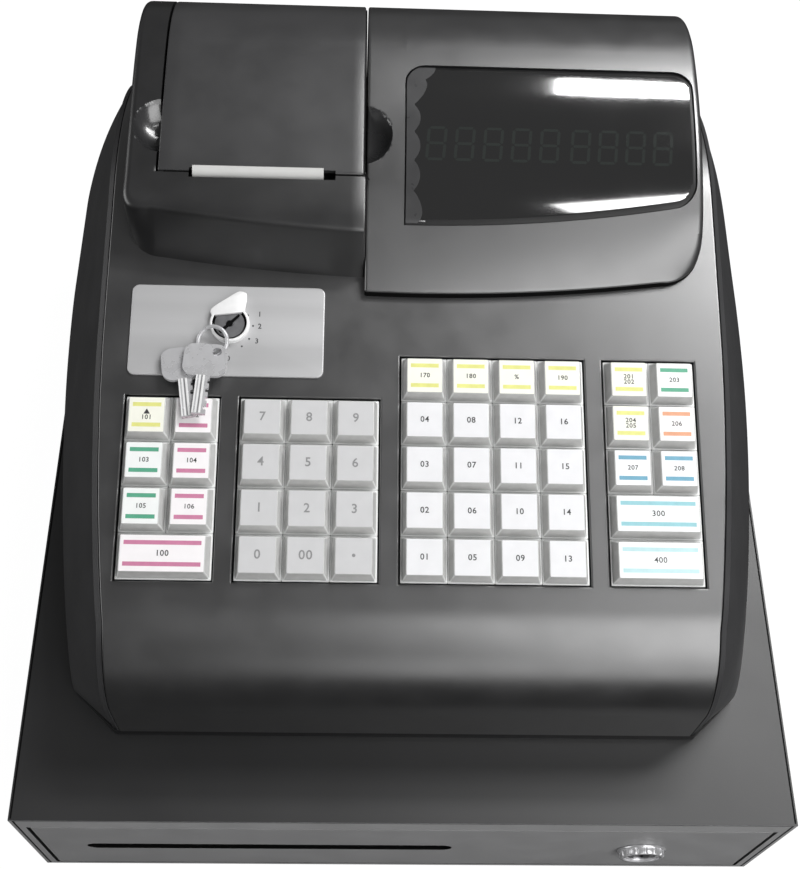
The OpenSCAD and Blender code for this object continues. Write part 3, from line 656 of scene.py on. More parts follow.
class RegisterDrawer(BuildOperator):
    """Cash drawer: case, front, box, tray, clips, latch, rollers and its lock"""

    bl_idname = "register.drawer"
    bl_label = "Drawer"

    def build(self):
        f = finishes()
        softened(
            "case_dressed", "drawer_case", [f["case"], f["frame"]], 0.45, mark=self.frame_faces
        )
        softened(
            "front_dressed", "drawer_front", [f["front"], f["shade"]], 0.35, mark=self.slot_faces
        )
        self.seams()
        self.throat()
        softened("feet_dressed", "rubber_feet", f["rubber"], 0.5)
        softened("box_dressed", "drawer_box", f["zinc"], 0.3)
        softened("tray_dressed", "cash_tray", f["tray"], 0.9)
        softened("clips_dressed", "bill_clips", f["dark_steel"], 0.3)
        softened("drawer_barrel_dressed", "drawer_lock_barrel", f["steel"], 0.2)
        softened("latch_dressed", "drawer_latch", f["yellow_zinc"], 0.3)
        repaint("front_rollers", "nylon")
        repaint("ejector_spring", "spring")
        self.collar()

    def frame_faces(self, middle, normal):
        """The case's faces at the very front that face forward, which get the lighter frame colour."""
        return (normal[:, 1] < -0.9) & (middle[:, 1] < 0.1)

    def slot_faces(self, middle, normal):
        """The cut faces of the long slot in the drawer's front, which get painted shade so the slot reads
        black.
        """
        inside = (abs(middle[:, 2] - SLOT_Z) < 5) & (middle[:, 0] < 25)
        inside &= middle[:, 0] > node_box("drawer_front")[0][0] + 5
        return inside & (abs(normal[:, 1]) < 0.5) & (middle[:, 1] < 1.6)

    def throat(self):
        """A tunnel in painted shade from the front's slot to the drawer box, a stadium swept straight back."""
        a = np.radians(np.arange(-90, 91, 15))
        reach, middle, half = 4.4, -59.0, 76.6
        right = np.stack([middle + half + reach * np.cos(a), SLOT_Z + reach * np.sin(a)], 1)
        left = np.stack([middle - half - reach * np.cos(a), SLOT_Z - reach * np.sin(a)], 1)
        ring = np.vstack([right, left])
        rows = [np.stack([ring[:, 0], np.full(len(ring), d), ring[:, 1]], 1) for d in (1.6, 12.0)]
        one_grid(
            np.stack(rows), "slot_throat", "drawer", finishes()["shade"], "front_paint", ring=True, wall=0.1,
            mend=False,
        )

    def seams(self):
        """Painted shade: dark lines laid on the paint where gaps and folds hold shadow, up both sides of the
        front frame, along its top, and along both sides of the case's top."""
        skin = Skin()
        low, high, lift = 3.5 + 1.2, DECK_Z - 1.2, 0.03
        for side in (-1, 1):
            upright = ((162.7, low), (163.5, low), (163.5, high), (162.7, high))
            along = ((163.6, 0.8), (164.3, 0.8), (164.3, 359), (163.6, 359))
            skin.add([(side * x, -lift, z) for x, z in upright], [[0, 1, 2, 3]])
            skin.add([(side * x, y, DECK_Z + lift) for x, y in along], [[0, 1, 2, 3]])
        skin.add([(x, -lift, z) for x in (-163.5, 163.5) for z in (high, high + 0.6)], [[0, 1, 3, 2]])
        skin.make("case_seam_shade_dressed", "base", finishes()["shade"], "case_paint", mend=False)

    def collar(self):
        """The lock's collar: a profile turned round the barrel, whose outer ring has narrow grip notches."""
        low, high = node_box("drawer_lock_collar")
        x, z = (low[0] + high[0]) / 2, (low[2] + high[2]) / 2
        face = low[1] - FRONT_Y
        profile = [
            (6.6, 22), (9, 22), (9, -0.05), (10.8, -0.05), (11, -0.25), (11, -0.95), (10.8, -1.2), (10, -1.25),
            (10, -1.3), (9.95, face + 0.7), (9.7, face + 0.25), (9.2, face), (8.3, face), (8.05, face + 0.2),
            (8, face + 0.9), (6.7, face + 1), (6.6, face + 1.2), (6.6, 22),
        ]
        ring = revolve(profile, 144)
        turn = np.arctan2(ring[..., 1], ring[..., 0])
        radius = np.hypot(ring[..., 0], ring[..., 1])
        grip = (ring[..., 2] < -1.28) & (radius > 8.9)
        ring[..., :2] *= np.where(grip, 1 - 0.05 * smooth_step(3 * np.cos(16 * turn) - 1.6), 1)[..., None]
        one_grid(
            np.stack([x + ring[..., 0], ring[..., 2], z + ring[..., 1]], -1), "drawer_collar_dressed", "drawer",
            finishes()["chrome"], "lock_chrome", "drawer_lock_collar", ring=True, smooth=40,
        )


class RegisterBody(BuildOperator):
    """Body: base pan, top shell with its key wells, and the two side cheeks"""

    bl_idname = "register.body"
    bl_label = "Body"

    def build(self):
        f = finishes()
        softened("base_dressed", "base_pan", f["base"], 0.5)
        self.top_shell()
        self.cheek("cheek_left_dressed", "side_cheek_left", -1)
        self.cheek("cheek_right_dressed", "side_cheek_right", 1)
        repaint("key_deck", "inner")
        repaint("main_board", "board")

    def top_shell(self):
        """The body's side line carried across, on a grid whose lines meet the borders of the wells. Near a well
        and at both sides the skin rolls down by a quarter circle of the edge radius."""
        s = bpy.context.scene.register_sizes
        r = s.edge_round / MM
        steps = r * np.array([0, 0.08, 0.3, 1, 1.6])
        spans = [(a - PITCH / 2 - WELL_GAP, b + PITCH / 2 + WELL_GAP, n) for a, b, n in WELLS]
        well_low = -PITCH / 2 - WELL_GAP
        tops = {n: (n - 0.5) * PITCH + WELL_GAP for n in (4, 5)}
        lock_hole = np.array([-LOCK_HOLE, LOCK_HOLE])
        ends = [corner[0] for opening in SHELL_OPENINGS for corner in opening]
        columns = np.concatenate([*(np.concatenate([a - steps, b + steps]) for a, b, _ in spans),
                                  LOCK_X + lock_hole, ends, [-60, 30, 100]])
        columns = np.unique(np.round(columns, 4))
        rows_up = np.concatenate([well_low - steps, tops[4] + steps, tops[5] + steps, LOCK_S + lock_hole,
                                  np.arange(4) * PITCH])
        flat = np.concatenate([[NOSE_FLAT_D, 200, 218, 240, ROLL_D], PANEL_POINT[0] + COS * rows_up])
        flat = np.unique(np.round(flat, 4))
        nose = arc(NOSE_C, NOSE_R, 180, 90 + SLOPE_DEG, 30)
        roll = arc(ROLL_C, ROLL_R, 90 + SLOPE_DEG, 0, 34)
        path = np.vstack(
            [[(NOSE_D, BASE_Z)], nose[:-1], np.stack([flat, panel_z(flat)], 1), roll[1:],
             [(BACK_D, z) for z in (119, 101, BASE_Z)]]
        )
        out = normals_2d(path)
        half = panel_half(path[:, 0])
        side = half[:, None] - r + r * np.array([-0.6, 0, 0.5, 0.8, 0.95, 1])
        x = np.hstack([-side[:, ::-1], np.broadcast_to(columns, (len(path), len(columns))), side])
        drop = rolled(np.clip(np.abs(x) - (half[:, None] - r), 0, r), r)
        way_up = (path[:, 0] - PANEL_POINT[0])[:, None] / COS
        on_panel = ((path[:, 0] >= NOSE_FLAT_D - 1e-3) & (path[:, 0] <= ROLL_D + 1e-3))[:, None]
        for a, b, n in spans:
            away = np.maximum(np.maximum(a - x, x - b), np.maximum(well_low - way_up, way_up - tops[n]))
            near = np.clip(r - np.maximum(away, 0), 0, r) * on_panel
            drop = np.maximum(drop, rolled(near, r))
        points = at_x(x, path[:, None, :] - out[:, None, :] * drop[..., None])
        middles = cells(points)
        mx, ms = middles[..., 0], cells(np.broadcast_to(way_up, x.shape))
        flat_face = cells(np.broadcast_to(on_panel, x.shape).astype(float)) > 0.99
        hole = flat_face & (abs(mx - LOCK_X) < LOCK_HOLE) & (abs(ms - LOCK_S) < LOCK_HOLE)
        for a, b, n in spans:
            hole |= flat_face & (mx > a) & (mx < b) & (ms > well_low) & (ms < tops[n])
        for low, high in SHELL_OPENINGS:
            hole |= ((middles > low) & (middles < high)).all(-1)
        one_grid(
            points, "panel_dressed", "base", finishes()["panel"], "shell_plastic", "top_shell", keep=~hole,
            wall=s.shell_wall / MM, smooth=50,
        )

    def cheek(self, name, node, side):
        """A skin from the panel's edge over the shoulder to the base: a quadratic curve across at every station
        along the body, which rolls down beside the panel by a quarter circle."""
        s = bpy.context.scene.register_sizes
        # stations of the panel's edge: up to the front roll, round it, up the slope, round the back roll, down
        stops, counts = (0, 1, 13, 27, 38, 39), (2, 36, 42, 33, 2)
        up, nose, panel, roll = stops[1:5]
        station = np.concatenate(
            [[0]] + [np.linspace(a, b, n + 1)[1:] for a, b, n in zip(stops[:-1], stops[1:], counts)]
        )
        nose_a = np.radians(np.interp(station, [up, nose], [180, 90 + SLOPE_DEG]))
        roll_a = np.radians(np.interp(station, [panel, roll], [90 + SLOPE_DEG, 0]))
        flat_d = np.interp(station, [nose, panel], [NOSE_FLAT_D, ROLL_D])
        edge_d = np.select(
            [station <= nose, station < panel], [NOSE_C[0] + NOSE_R * np.cos(nose_a), flat_d],
            ROLL_C[0] + ROLL_R * np.cos(roll_a),
        )
        edge_z = np.select(
            [station <= up, station <= nose, station < panel, station <= roll],
            [lerp(BASE_Z, NOSE_C[1], station), NOSE_C[1] + NOSE_R * np.sin(nose_a), panel_z(flat_d),
             ROLL_C[1] + ROLL_R * np.sin(roll_a)],
            lerp(ROLL_C[1], BASE_Z, station - roll),
        )
        # the shoulder below it leaves the front ellipse at 130 degrees and meets the back one 5 stations on
        (front, back), (front_reach, back_reach) = SHOULDER_D, SHOULDER_REACH
        leave, middle, meet = 130, 270, panel + 5
        turn = np.radians(180 - (180 - leave) * np.clip(station, 0, nose) / nose)
        shoulder_d = np.select(
            [station <= nose, station <= panel, station <= meet],
            [front + front_reach * np.cos(turn),
             lerp(front + front_reach * math.cos(math.radians(leave)), middle,
                  (station - nose) / (panel - nose)),
             lerp(middle, back, (station - panel) / (meet - panel))],
            back + back_reach * np.sin(np.pi / 2 * (station - meet) / (stops[-1] - meet)),
        )
        beyond = np.maximum((front - shoulder_d) / front_reach, (shoulder_d - back) / back_reach)
        rise = SHOULDER_RISE * np.sqrt(1 - np.clip(beyond, 0, 1) ** 2)
        edge = np.stack([panel_half(edge_d) + 0.3, edge_d, edge_z], 1)
        shoulder = np.stack([cheek_half(shoulder_d), shoulder_d, BASE_Z + np.maximum(0.6, rise)], 1)
        bulge = np.array([3.2, 0, 2.2]) * np.clip((edge[:, 2] - shoulder[:, 2]) / 18, 0, 1)[:, None]
        knee = (edge + shoulder) / 2 + bulge
        u = np.concatenate([[0, 0.002, 0.008, 0.018, 0.028], np.linspace(0.05, 1, 18)])[None, :, None]
        across = edge[:, None] * (1 - u) ** 2 + knee[:, None] * 2 * u * (1 - u) + shoulder[:, None] * u**2
        out = normals_2d(edge[:, 1:])
        r = s.edge_round / MM
        drop = rolled(np.clip(r - (across[..., 0] - across[:, :1, 0]), 0, r), r)
        across[..., 1:] -= out[:, None] * drop[..., None]
        foot = across[:, -1:].copy()
        foot[..., 2] = BASE_Z
        skirt = across[:, -1:] + (foot - across[:, -1:]) * np.array([0.33, 0.66, 1])[None, :, None]
        points = np.concatenate([across, skirt], 1)
        points[..., 0] *= side
        one_grid(
            points, name, "base", finishes()["cheek"], "cheek_plastic", node, wall=s.shell_wall / MM, smooth=50
        )


# The two hoods, by side: -1 is the printer's on the left, whose x is mirrored, and 1 is the display's.
SEAM, SEAM_ROUND = {-1: 21.8, 1: -21.6}, 0.8
HOOD_HALF, HOOD_BACK, BACK_CORNER = 122.5, 350.5, 10.0
HOOD_SINK, HOOD_LIP = 0.4, 3.9
# how far inside its outline each hood's front stands, and how far below its top, from the foot up
FRONT_PROFILE = {
    -1: ([-0.4, 1.5, 3.5, 5.2, 5.9, 6.2, 6.45, 6.75, 7.2, 8.2, 10.5, 13, 16],
         [23, 16.6, 10, 4.4, 2.1, 1.2, 0.62, 0.25, 0.06, 0, 0, 0, 0]),
    1: ([0.1, 0.08, 0.06, 0.04, 0.02, 0, 0, 0, 0.06, 0.2, 1, 2, 3],
        [12, 4, 3, 2, 1.1, 0.8, 0.6, 0.35, 0.1, 0.02, 0, 0, 0]),
}
COVER_EDGE, COVER_D, COVER_SILL, COVER_LIP = 109.3, 236.2, 185.0, 0.5
PAPER_X, PAPER_ROWS, ROLL_ROW = (34.5, 95.5), (233.3, 233.7), 325
# the roll behind the hoods is a quarter of an ellipse, the display hood's top is a long arc
ROLL_WIDE, ROLL_HIGH = 46.0, 38.0
ROLL_TOP = (HOOD_BACK - ROLL_WIDE, HOOD_Z - ROLL_HIGH)
ROLL_STATIONS = ROLL_TOP[0] + ROLL_WIDE * np.sin(np.radians(np.arange(4, 88, 4)))
HINGE = (348.0, 196.0)
BARREL_R = 183.0
BARREL_C = (310.0, HOOD_Z - BARREL_R)
LENS_X, LENS_D, LENS_CORNER, LENS_GAP = (-5.5, 119.5), (222.0, 292.0), 9.0, 0.2
LENS_R, LENS_BORDER, LENS_SINK = BARREL_R - 0.3, 3.0, 0.9
SCOOP_D, SCOOP_SNAP, SCOOP_ROWS = 258.0, 0.27, (243.5, 272.5)
SCOOP_X = {-1: 107.2, 1: -23.6}
PRINTER_TOP = smooth_line([
    (d, HOOD_Z - below) for d, below in (
        (203, 17.2), (211.5, 14.3), (221, 11.1), (240, 8.2), (262, 4.6), (280, 2.1), (294, 0.6),
        (ROLL_TOP[0], 0),
    )
])


def bow(x):
    """How far the front of the hoods bows back, a parabola across."""
    return x * x / 1520


def rear_roll(depth):
    """Height of the roll behind the hoods: a quarter of an ellipse."""
    reach = np.clip((depth - ROLL_TOP[0]) / ROLL_WIDE, 0, 0.9998)
    return ROLL_TOP[1] + ROLL_HIGH * np.sqrt(1 - reach**2)


def printer_top(depth):
    """Height over depth of the printer's hood: a gentle curve, then the rear roll."""
    return np.where(depth < ROLL_TOP[0], np.interp(depth, *PRINTER_TOP.T), rear_roll(depth))


def to_sill(depth):
    """The printer's side line over the given depths, then down at the back to the cover's sill."""
    line = np.stack([depth, printer_top(depth)], 1)
    return np.vstack([line, [(HOOD_BACK, ROLL_TOP[1]), (HOOD_BACK, COVER_SILL)]])


def barrel_top(depth):
    """Height over depth of the display's hood: a long arc, a flat, then the rear roll."""
    reach = np.clip(BARREL_C[0] - depth, 0, BARREL_R)
    return np.where(depth < ROLL_TOP[0], BARREL_C[1] + np.sqrt(BARREL_R**2 - reach**2), rear_roll(depth))


def lens_front(x):
    """Depth of the window's front border before its corner is rounded: it bows back a little more than the
    hood."""
    return LENS_D[0] - 0.6 + 1.12 * bow(x)


def lens_border(x, far):
    """Depth of the window's front or far border at x, with round corners but a square one in front on the left;
    beside the window, where the corner ends."""
    left = LENS_X[0] + LENS_CORNER - x if far else LENS_X[0] - x + np.zeros_like(x)
    corner = rolled(np.clip(np.maximum(left, x - LENS_X[1] + LENS_CORNER), 0, LENS_CORNER), LENS_CORNER)
    return LENS_D[1] - corner if far else lens_front(x) + corner


def scooped(points, side):
    """Presses a finger scoop into a hood: points near the rim move onto its circle, and inside it the skin
    drops by a spherical cap. Returns the points and the distance from the middle over the radius."""
    s = bpy.context.scene.register_sizes
    rim, depth = s.scoop_radius / MM, s.scoop_depth / MM
    ball = (rim**2 + depth**2) / (2 * depth)
    away = points[..., :2] - (SCOOP_X[side], SCOOP_D)
    r = np.linalg.norm(away, axis=-1)
    snap = abs(r - rim) < SCOOP_SNAP
    scale = np.where(snap, rim / np.maximum(r, 1e-6), 1)[..., None]
    points[..., :2] = (SCOOP_X[side], SCOOP_D) + away * scale
    r = np.where(snap, rim, r)
    cap = np.sqrt(np.maximum(ball**2 - r**2, 0)) - (ball - depth)
    points[..., 2] -= np.where(r < rim, cap, 0)
    return points, r / rim


class RegisterHoods(BuildOperator):
    """Hoods over the printer and the display"""

    bl_idname = "register.hoods"
    bl_label = "Hoods"

    def build(self):
        self.hood("printer_hood_dressed", "printer_hood", -1, 205.0, 15.0)
        self.hood("display_hood_dressed", "display_hood", 1, 196.5, 18.0)

    def columns(self, side, last):
        """Places of the columns across a hood, from the seam outwards, with lines at the cover, the scoop and
        the window."""
        start = SEAM[side] + SEAM_ROUND
        if side < 0:
            beside = np.arange(COVER_EDGE, 119.4, 0.5)
            x = np.concatenate([np.linspace(start, 107, 16), PAPER_X, beside, [119.5]])
        else:
            rim = bpy.context.scene.register_sizes.scoop_radius / MM
            corner = LENS_CORNER * (1 - np.cos(np.radians(np.arange(15, 91, 15))))
            outer = 104.5 + 15 * np.sin(np.radians(np.arange(0, 91, 10)))
            x = np.concatenate([
                np.arange(start, SCOOP_X[1] + rim + 1, 0.5), [LENS_X[0]], LENS_X[0] + corner,
                np.linspace(14, 100, 10), outer, LENS_X[1] - corner,
            ])
        x = np.unique(np.round(x, 3))
        x = x[np.concatenate([[True], np.diff(x) > 0.08])]
        x[-1] = last
        return x

    def surfaces(self, side, front, corner):
        """A hood's columns, its grid over the plan and its outer side wall: columns go across from the seam,
        rows from the front foot over the top to the back. A ring of rows round the plan makes wall and rounded
        edge; within it the height follows the side line. Also returns the rows at the stops inside the ring,
        and how far each column's front has turned into the side."""
        edge = bpy.context.scene.register_sizes.hood_round / MM
        printer = side < 0
        x_in = self.columns(side, HOOD_HALF - edge)
        turn_f = np.arcsin(np.clip((x_in - (HOOD_HALF - corner)) / (corner - edge), 0, 1))
        turn_b = np.arcsin(np.clip((x_in - (HOOD_HALF - BACK_CORNER)) / (BACK_CORNER - edge), 0, 1))
        foot_line = front + bow(np.minimum(x_in, HOOD_HALF - corner)) + corner * (1 - np.cos(turn_f))
        top_line = printer_top if printer else barrel_top
        gap = np.clip(HOOD_LIP - (top_line(foot_line) - body_z(foot_line)), 0, None)

        def top(x, d):
            """Height of the hood: its side line; on the display's, the front is lifted to a lip, which fades
            over 40 mm, and the outer front corner falls by up to 5 mm."""
            if printer:
                return printer_top(d)
            lift = np.interp(x, x_in, gap) * np.clip(1 - (d - np.interp(x, x_in, foot_line)) / 40, 0, 1) ** 2
            fall = 5 * np.clip((x - 100) / 22.5, 0, 1) ** 2 * np.clip((229 - d) / 20, 0, 1) ** 1.3
            return barrel_top(d) + lift - fall

        # stations up the wall and round its upper edge
        up = np.array([0, 0.3, 0.6, 0.84])[:, None]
        alpha = np.radians(np.linspace(0, 90, 9))[:, None]
        side_off = np.concatenate([0 * up, edge * (1 - np.cos(alpha))])
        front_off, front_drop = np.array(FRONT_PROFILE[side])[..., None]

        def wall_z(d, high):
            """Heights of a wall from the body to the start of the edge, then round it."""
            foot = body_z(d) - HOOD_SINK
            return np.vstack([lerp(foot[:4], high[:4] - edge, up), high[4:] - edge + edge * np.sin(alpha)])

        # ring of the front: outline turned by turn_f, profile blended from front to side
        blend = smooth_step(np.sin(turn_f) ** 2)
        off = lerp(front_off, side_off, blend)
        x = x_in + edge * np.sin(turn_f) - off * np.sin(turn_f)
        d = foot_line + off * np.cos(turn_f)
        high = top(x, d)
        front_z = np.maximum(high - front_drop, body_z(d) - HOOD_SINK)
        ring_f = np.stack([x, d, lerp(front_z, wall_z(d, high), blend)], -1)
        # ring of the back
        x = x_in + (edge - side_off) * np.sin(turn_b)
        d = HOOD_BACK - BACK_CORNER * (1 - np.cos(turn_b)) - side_off * np.cos(turn_b)
        ring_b = np.stack([x, d, wall_z(d, top_line(d))], -1)[::-1]
        # rows inside the ring, with lines at the cover, the scoop and the window
        d_f, d_b = ring_f[-1, :, 1], ring_b[0, :, 1]
        if printer:
            stops = [d_f, *PAPER_ROWS, COVER_D - COVER_LIP, COVER_D, *SCOOP_ROWS, ROLL_ROW, d_b]
            counts = [8, 2, 3, 4, 5, 58, 18, 16]
        else:
            stops = [d_f, lens_border(x_in, False), *SCOOP_ROWS, lens_border(x_in, True), ROLL_ROW, d_b]
            counts = [16, 8, 58, 8, 10, 16]
        d = np.vstack([d_f[None]] + [
            lerp(a, b, np.linspace(0, 1, n + 1)[1:, None] * np.ones_like(x_in))
            for a, b, n in zip(stops[:-1], stops[1:], counts)
        ])
        x = lerp(ring_f[-1, :, 0], x_in, np.clip((d - d_f) / (COVER_D - d_f), 0, 1))
        z = top(x, d)
        if printer:
            beside = (d < COVER_D + 0.01) * (x_in < COVER_EDGE + 0.01)
            z = z - rolled(np.clip(d - (COVER_D - COVER_LIP), 0, COVER_LIP) * beside, COVER_LIP)
        points = np.concatenate([ring_f, np.stack([x, d, z], -1)[1:], ring_b[1:]], 0)
        # outer side wall, below the last column inside the ring
        d, z = (v[:, -1] * np.ones_like(side_off) for v in (d, z))
        outer = np.stack([np.broadcast_to(HOOD_HALF - side_off, d.shape), d, wall_z(d, z)], -1).swapaxes(0, 1)
        return x_in, points, outer, len(ring_f) - 1 + np.cumsum([0] + counts), blend

    def hood(self, name, node, side, front, corner):
        """A hood with its scoop pressed in, its first column rolled over into a flat wall at the seam, and its
        openings left out."""
        s, f = bpy.context.scene.register_sizes, finishes()
        printer = side < 0
        x_in, points, outer, stop_row, blend = self.surfaces(side, front, corner)
        points, near = scooped(points, side)
        outer, near_outer = scooped(outer, side)
        line = points[:, 0, 1:]
        beta = np.radians(np.array([90, 60, 30]))
        inwards = normals_2d(line)[:, None] * SEAM_ROUND * (1 - np.cos(beta))[:, None]
        seam = at_x(SEAM[side] + SEAM_ROUND * (1 - np.sin(beta)), line[:, None] - inwards)
        grid = np.concatenate([seam, points], 1)
        # openings for cover and paper or for the window; the cover's ends at the sill in the back wall
        mx, row = cells(grid[..., 0]), np.arange(len(grid) - 1)[:, None]
        cut, sill = stop_row[4], len(grid) - 4
        if printer:
            hole = (mx < COVER_EDGE) & (row >= cut) & (row < sill)
            hole |= (mx > PAPER_X[0]) & (mx < PAPER_X[1]) & (row >= stop_row[2]) & (row < cut)
        else:
            hole = (mx > LENS_X[0]) & (mx < LENS_X[1]) & (row >= stop_row[1]) & (row < cut)
        # the scoop is polished, in a lighter colour that is partly painted sheen; the front wall of the
        # display's hood is painted shade, a black band where shadow falls under its lip
        marks = (cells(np.hstack([near[:, :1].repeat(3, 1), near])) < 1).astype(int)
        if not printer:
            marks[:5] = np.where(np.concatenate([[0, 0, 0], blend[1:]]) < 0.97, 2, marks[:5])
        grid[..., 0] *= side
        outer[..., 0] *= side
        skin = Skin()
        skin.grid(grid, marks, ~hole)
        skin.grid(outer, (cells(near_outer) < 1).astype(int))
        wall = grid[:, 0]
        if printer:
            wall = np.vstack([wall[:cut + 1], [(wall[0, 0], COVER_D, 192.0)]])
        skin.add(wall, [list(range(len(wall)))])
        if printer:
            # the wall beside the cover's left edge, down to its sill
            upper = points[cut:sill + 1, np.argmin(abs(x_in - COVER_EDGE))] * (side, 1, 1)
            lower = np.stack([upper[:, 0], upper[:, 1], np.minimum(COVER_SILL, upper[:, 2])], 1)
            skin.grid(np.stack([upper, lerp(upper, lower, 0.5), lower], 0))
        plastics = [f["printer" if printer else "hood"], f["polished"], f["shade"]]
        skin.make(name, "base", plastics, "hood_plastic", node, wall=s.shell_wall / MM, smooth=40)


class RegisterCover(BuildOperator):
    """Printer cover and the receipt in its slot"""

    bl_idname = "register.cover"
    bl_label = "Printer cover"

    def build(self):
        self.cover()
        self.barrel()
        self.receipt()
        self.liner()

    def cover(self):
        """The hood's side line carried across; at both sides the line shrinks inwards along its normals, which
        rolls the edge over and lets a skirt hang down."""
        left, right, front, slot_back, lip = -108.5, -22.7, COVER_D + 0.6, 238.3, 0.6
        slot = (-PAPER_X[1], -PAPER_X[0])
        depth = np.concatenate([
            front + np.array([0, 0.1, 0.3, lip]), np.linspace(slot_back, ROLL_TOP[0], 40), ROLL_STATIONS
        ])
        path = to_sill(np.unique(np.round(depth, 3)))
        out = normals_2d(path)
        path = path - out * rolled(np.clip(lip - (path[:, 0] - front), 0, lip), lip)[:, None]
        beta = np.radians(np.array([0, 30, 60, 90]))
        shrink = np.concatenate([[12, 6], SEAM_ROUND * (1 - np.sin(beta))])
        inset = np.concatenate([[0, 0], SEAM_ROUND * (1 - np.cos(beta))])
        middle = np.array([-102, slot[0] - 0.6, slot[0], slot[0] + 0.01, -80, -65, -50, slot[1] - 0.01, slot[1],
                           slot[1] + 0.6, -28])
        x = np.concatenate([left + inset, middle, right - inset[::-1]])
        t = np.concatenate([shrink, np.zeros(len(middle)), shrink[::-1]])
        line = np.maximum(path[:, None] - out[:, None] * t[None, :, None], (front, COVER_SILL))
        points = at_x(x, line)
        mx, md = ((points[:-1, :-1] + points[1:, 1:]) / 2)[..., :2].transpose(2, 0, 1)
        keep = ~((mx > slot[0]) & (mx < slot[1]) & (md < slot_back))
        one_grid(
            points, "cover_dressed", "printer_cover", finishes()["cover"], "hood_plastic", "printer_cover",
            keep=keep, wall=2.3, smooth=40,
        )

    def barrel(self):
        """The hinge's barrel: a profile turned round the hinge's axis, from the cover's left end inwards."""
        tube = revolve([(2.6, 0.2), (5.6, 0.2), (6, 0.6), (6, 86.1), (5.6, 86.5), (2.6, 86.5), (2.6, 0.2)], 40)
        points = np.stack([-108.9 + tube[..., 2], HINGE[0] + tube[..., 0], HINGE[1] + tube[..., 1]], -1)
        one_grid(
            points, "cover_hinge_dressed", "printer_cover", finishes()["printer"], "hood_plastic", ring=True,
            smooth=40,
        )

    def liner(self):
        """A fin in painted shade in the gap between cover and display hood, so the gap reads dark; it keeps
        below the hoods' line by 1.4 mm and follows the roll down at the back."""
        top = to_sill(np.concatenate([np.linspace(COVER_D - 2, ROLL_TOP[0], 50), ROLL_STATIONS]))
        out = normals_2d(top)
        line = np.stack([top - out * below for below in (1.4, 8, 15)], 1)
        one_grid(
            at_x(-22.15, line), "seam_liner", "base", finishes()["shade"], "hood_plastic", wall=0.5, smooth=60
        )

    def receipt(self):
        """The end of the receipt: a strip that rises through the slot and leans back, with a finely toothed
        edge."""
        x = np.linspace(-94, -39.5, 111)
        rise = smooth_line([(234.3, 203), (234.3, 210), (234.5, 215.8), (235.6, 219.2), (238.1, 221.3)], 6)
        teeth = 0.25 * (np.arange(len(x)) % 2)
        line = np.broadcast_to(rise[:, None], (len(rise), len(x), 2)).copy()
        line[-1] -= teeth[:, None] * (rise[-1] - rise[-2]) / np.linalg.norm(rise[-1] - rise[-2])
        one_grid(at_x(x, line), "receipt", "base", finishes()["paper"], "receipt_paper", wall=0.08, smooth=60)


def on_window(x, depth, lift=0):
    """Points on the window's barrel or a little over it."""
    x, depth = np.broadcast_arrays(x, depth)
    return np.stack([x, depth, BARREL_C[1] + np.sqrt((LENS_R + lift) ** 2 - (BARREL_C[0] - depth) ** 2)], -1)


def border_drop(inside):
    """How far window and film sink towards the window's border: a quarter of an ellipse."""
    return LENS_SINK * rolled(np.clip(1 - inside / LENS_BORDER, 0, 1), 1)


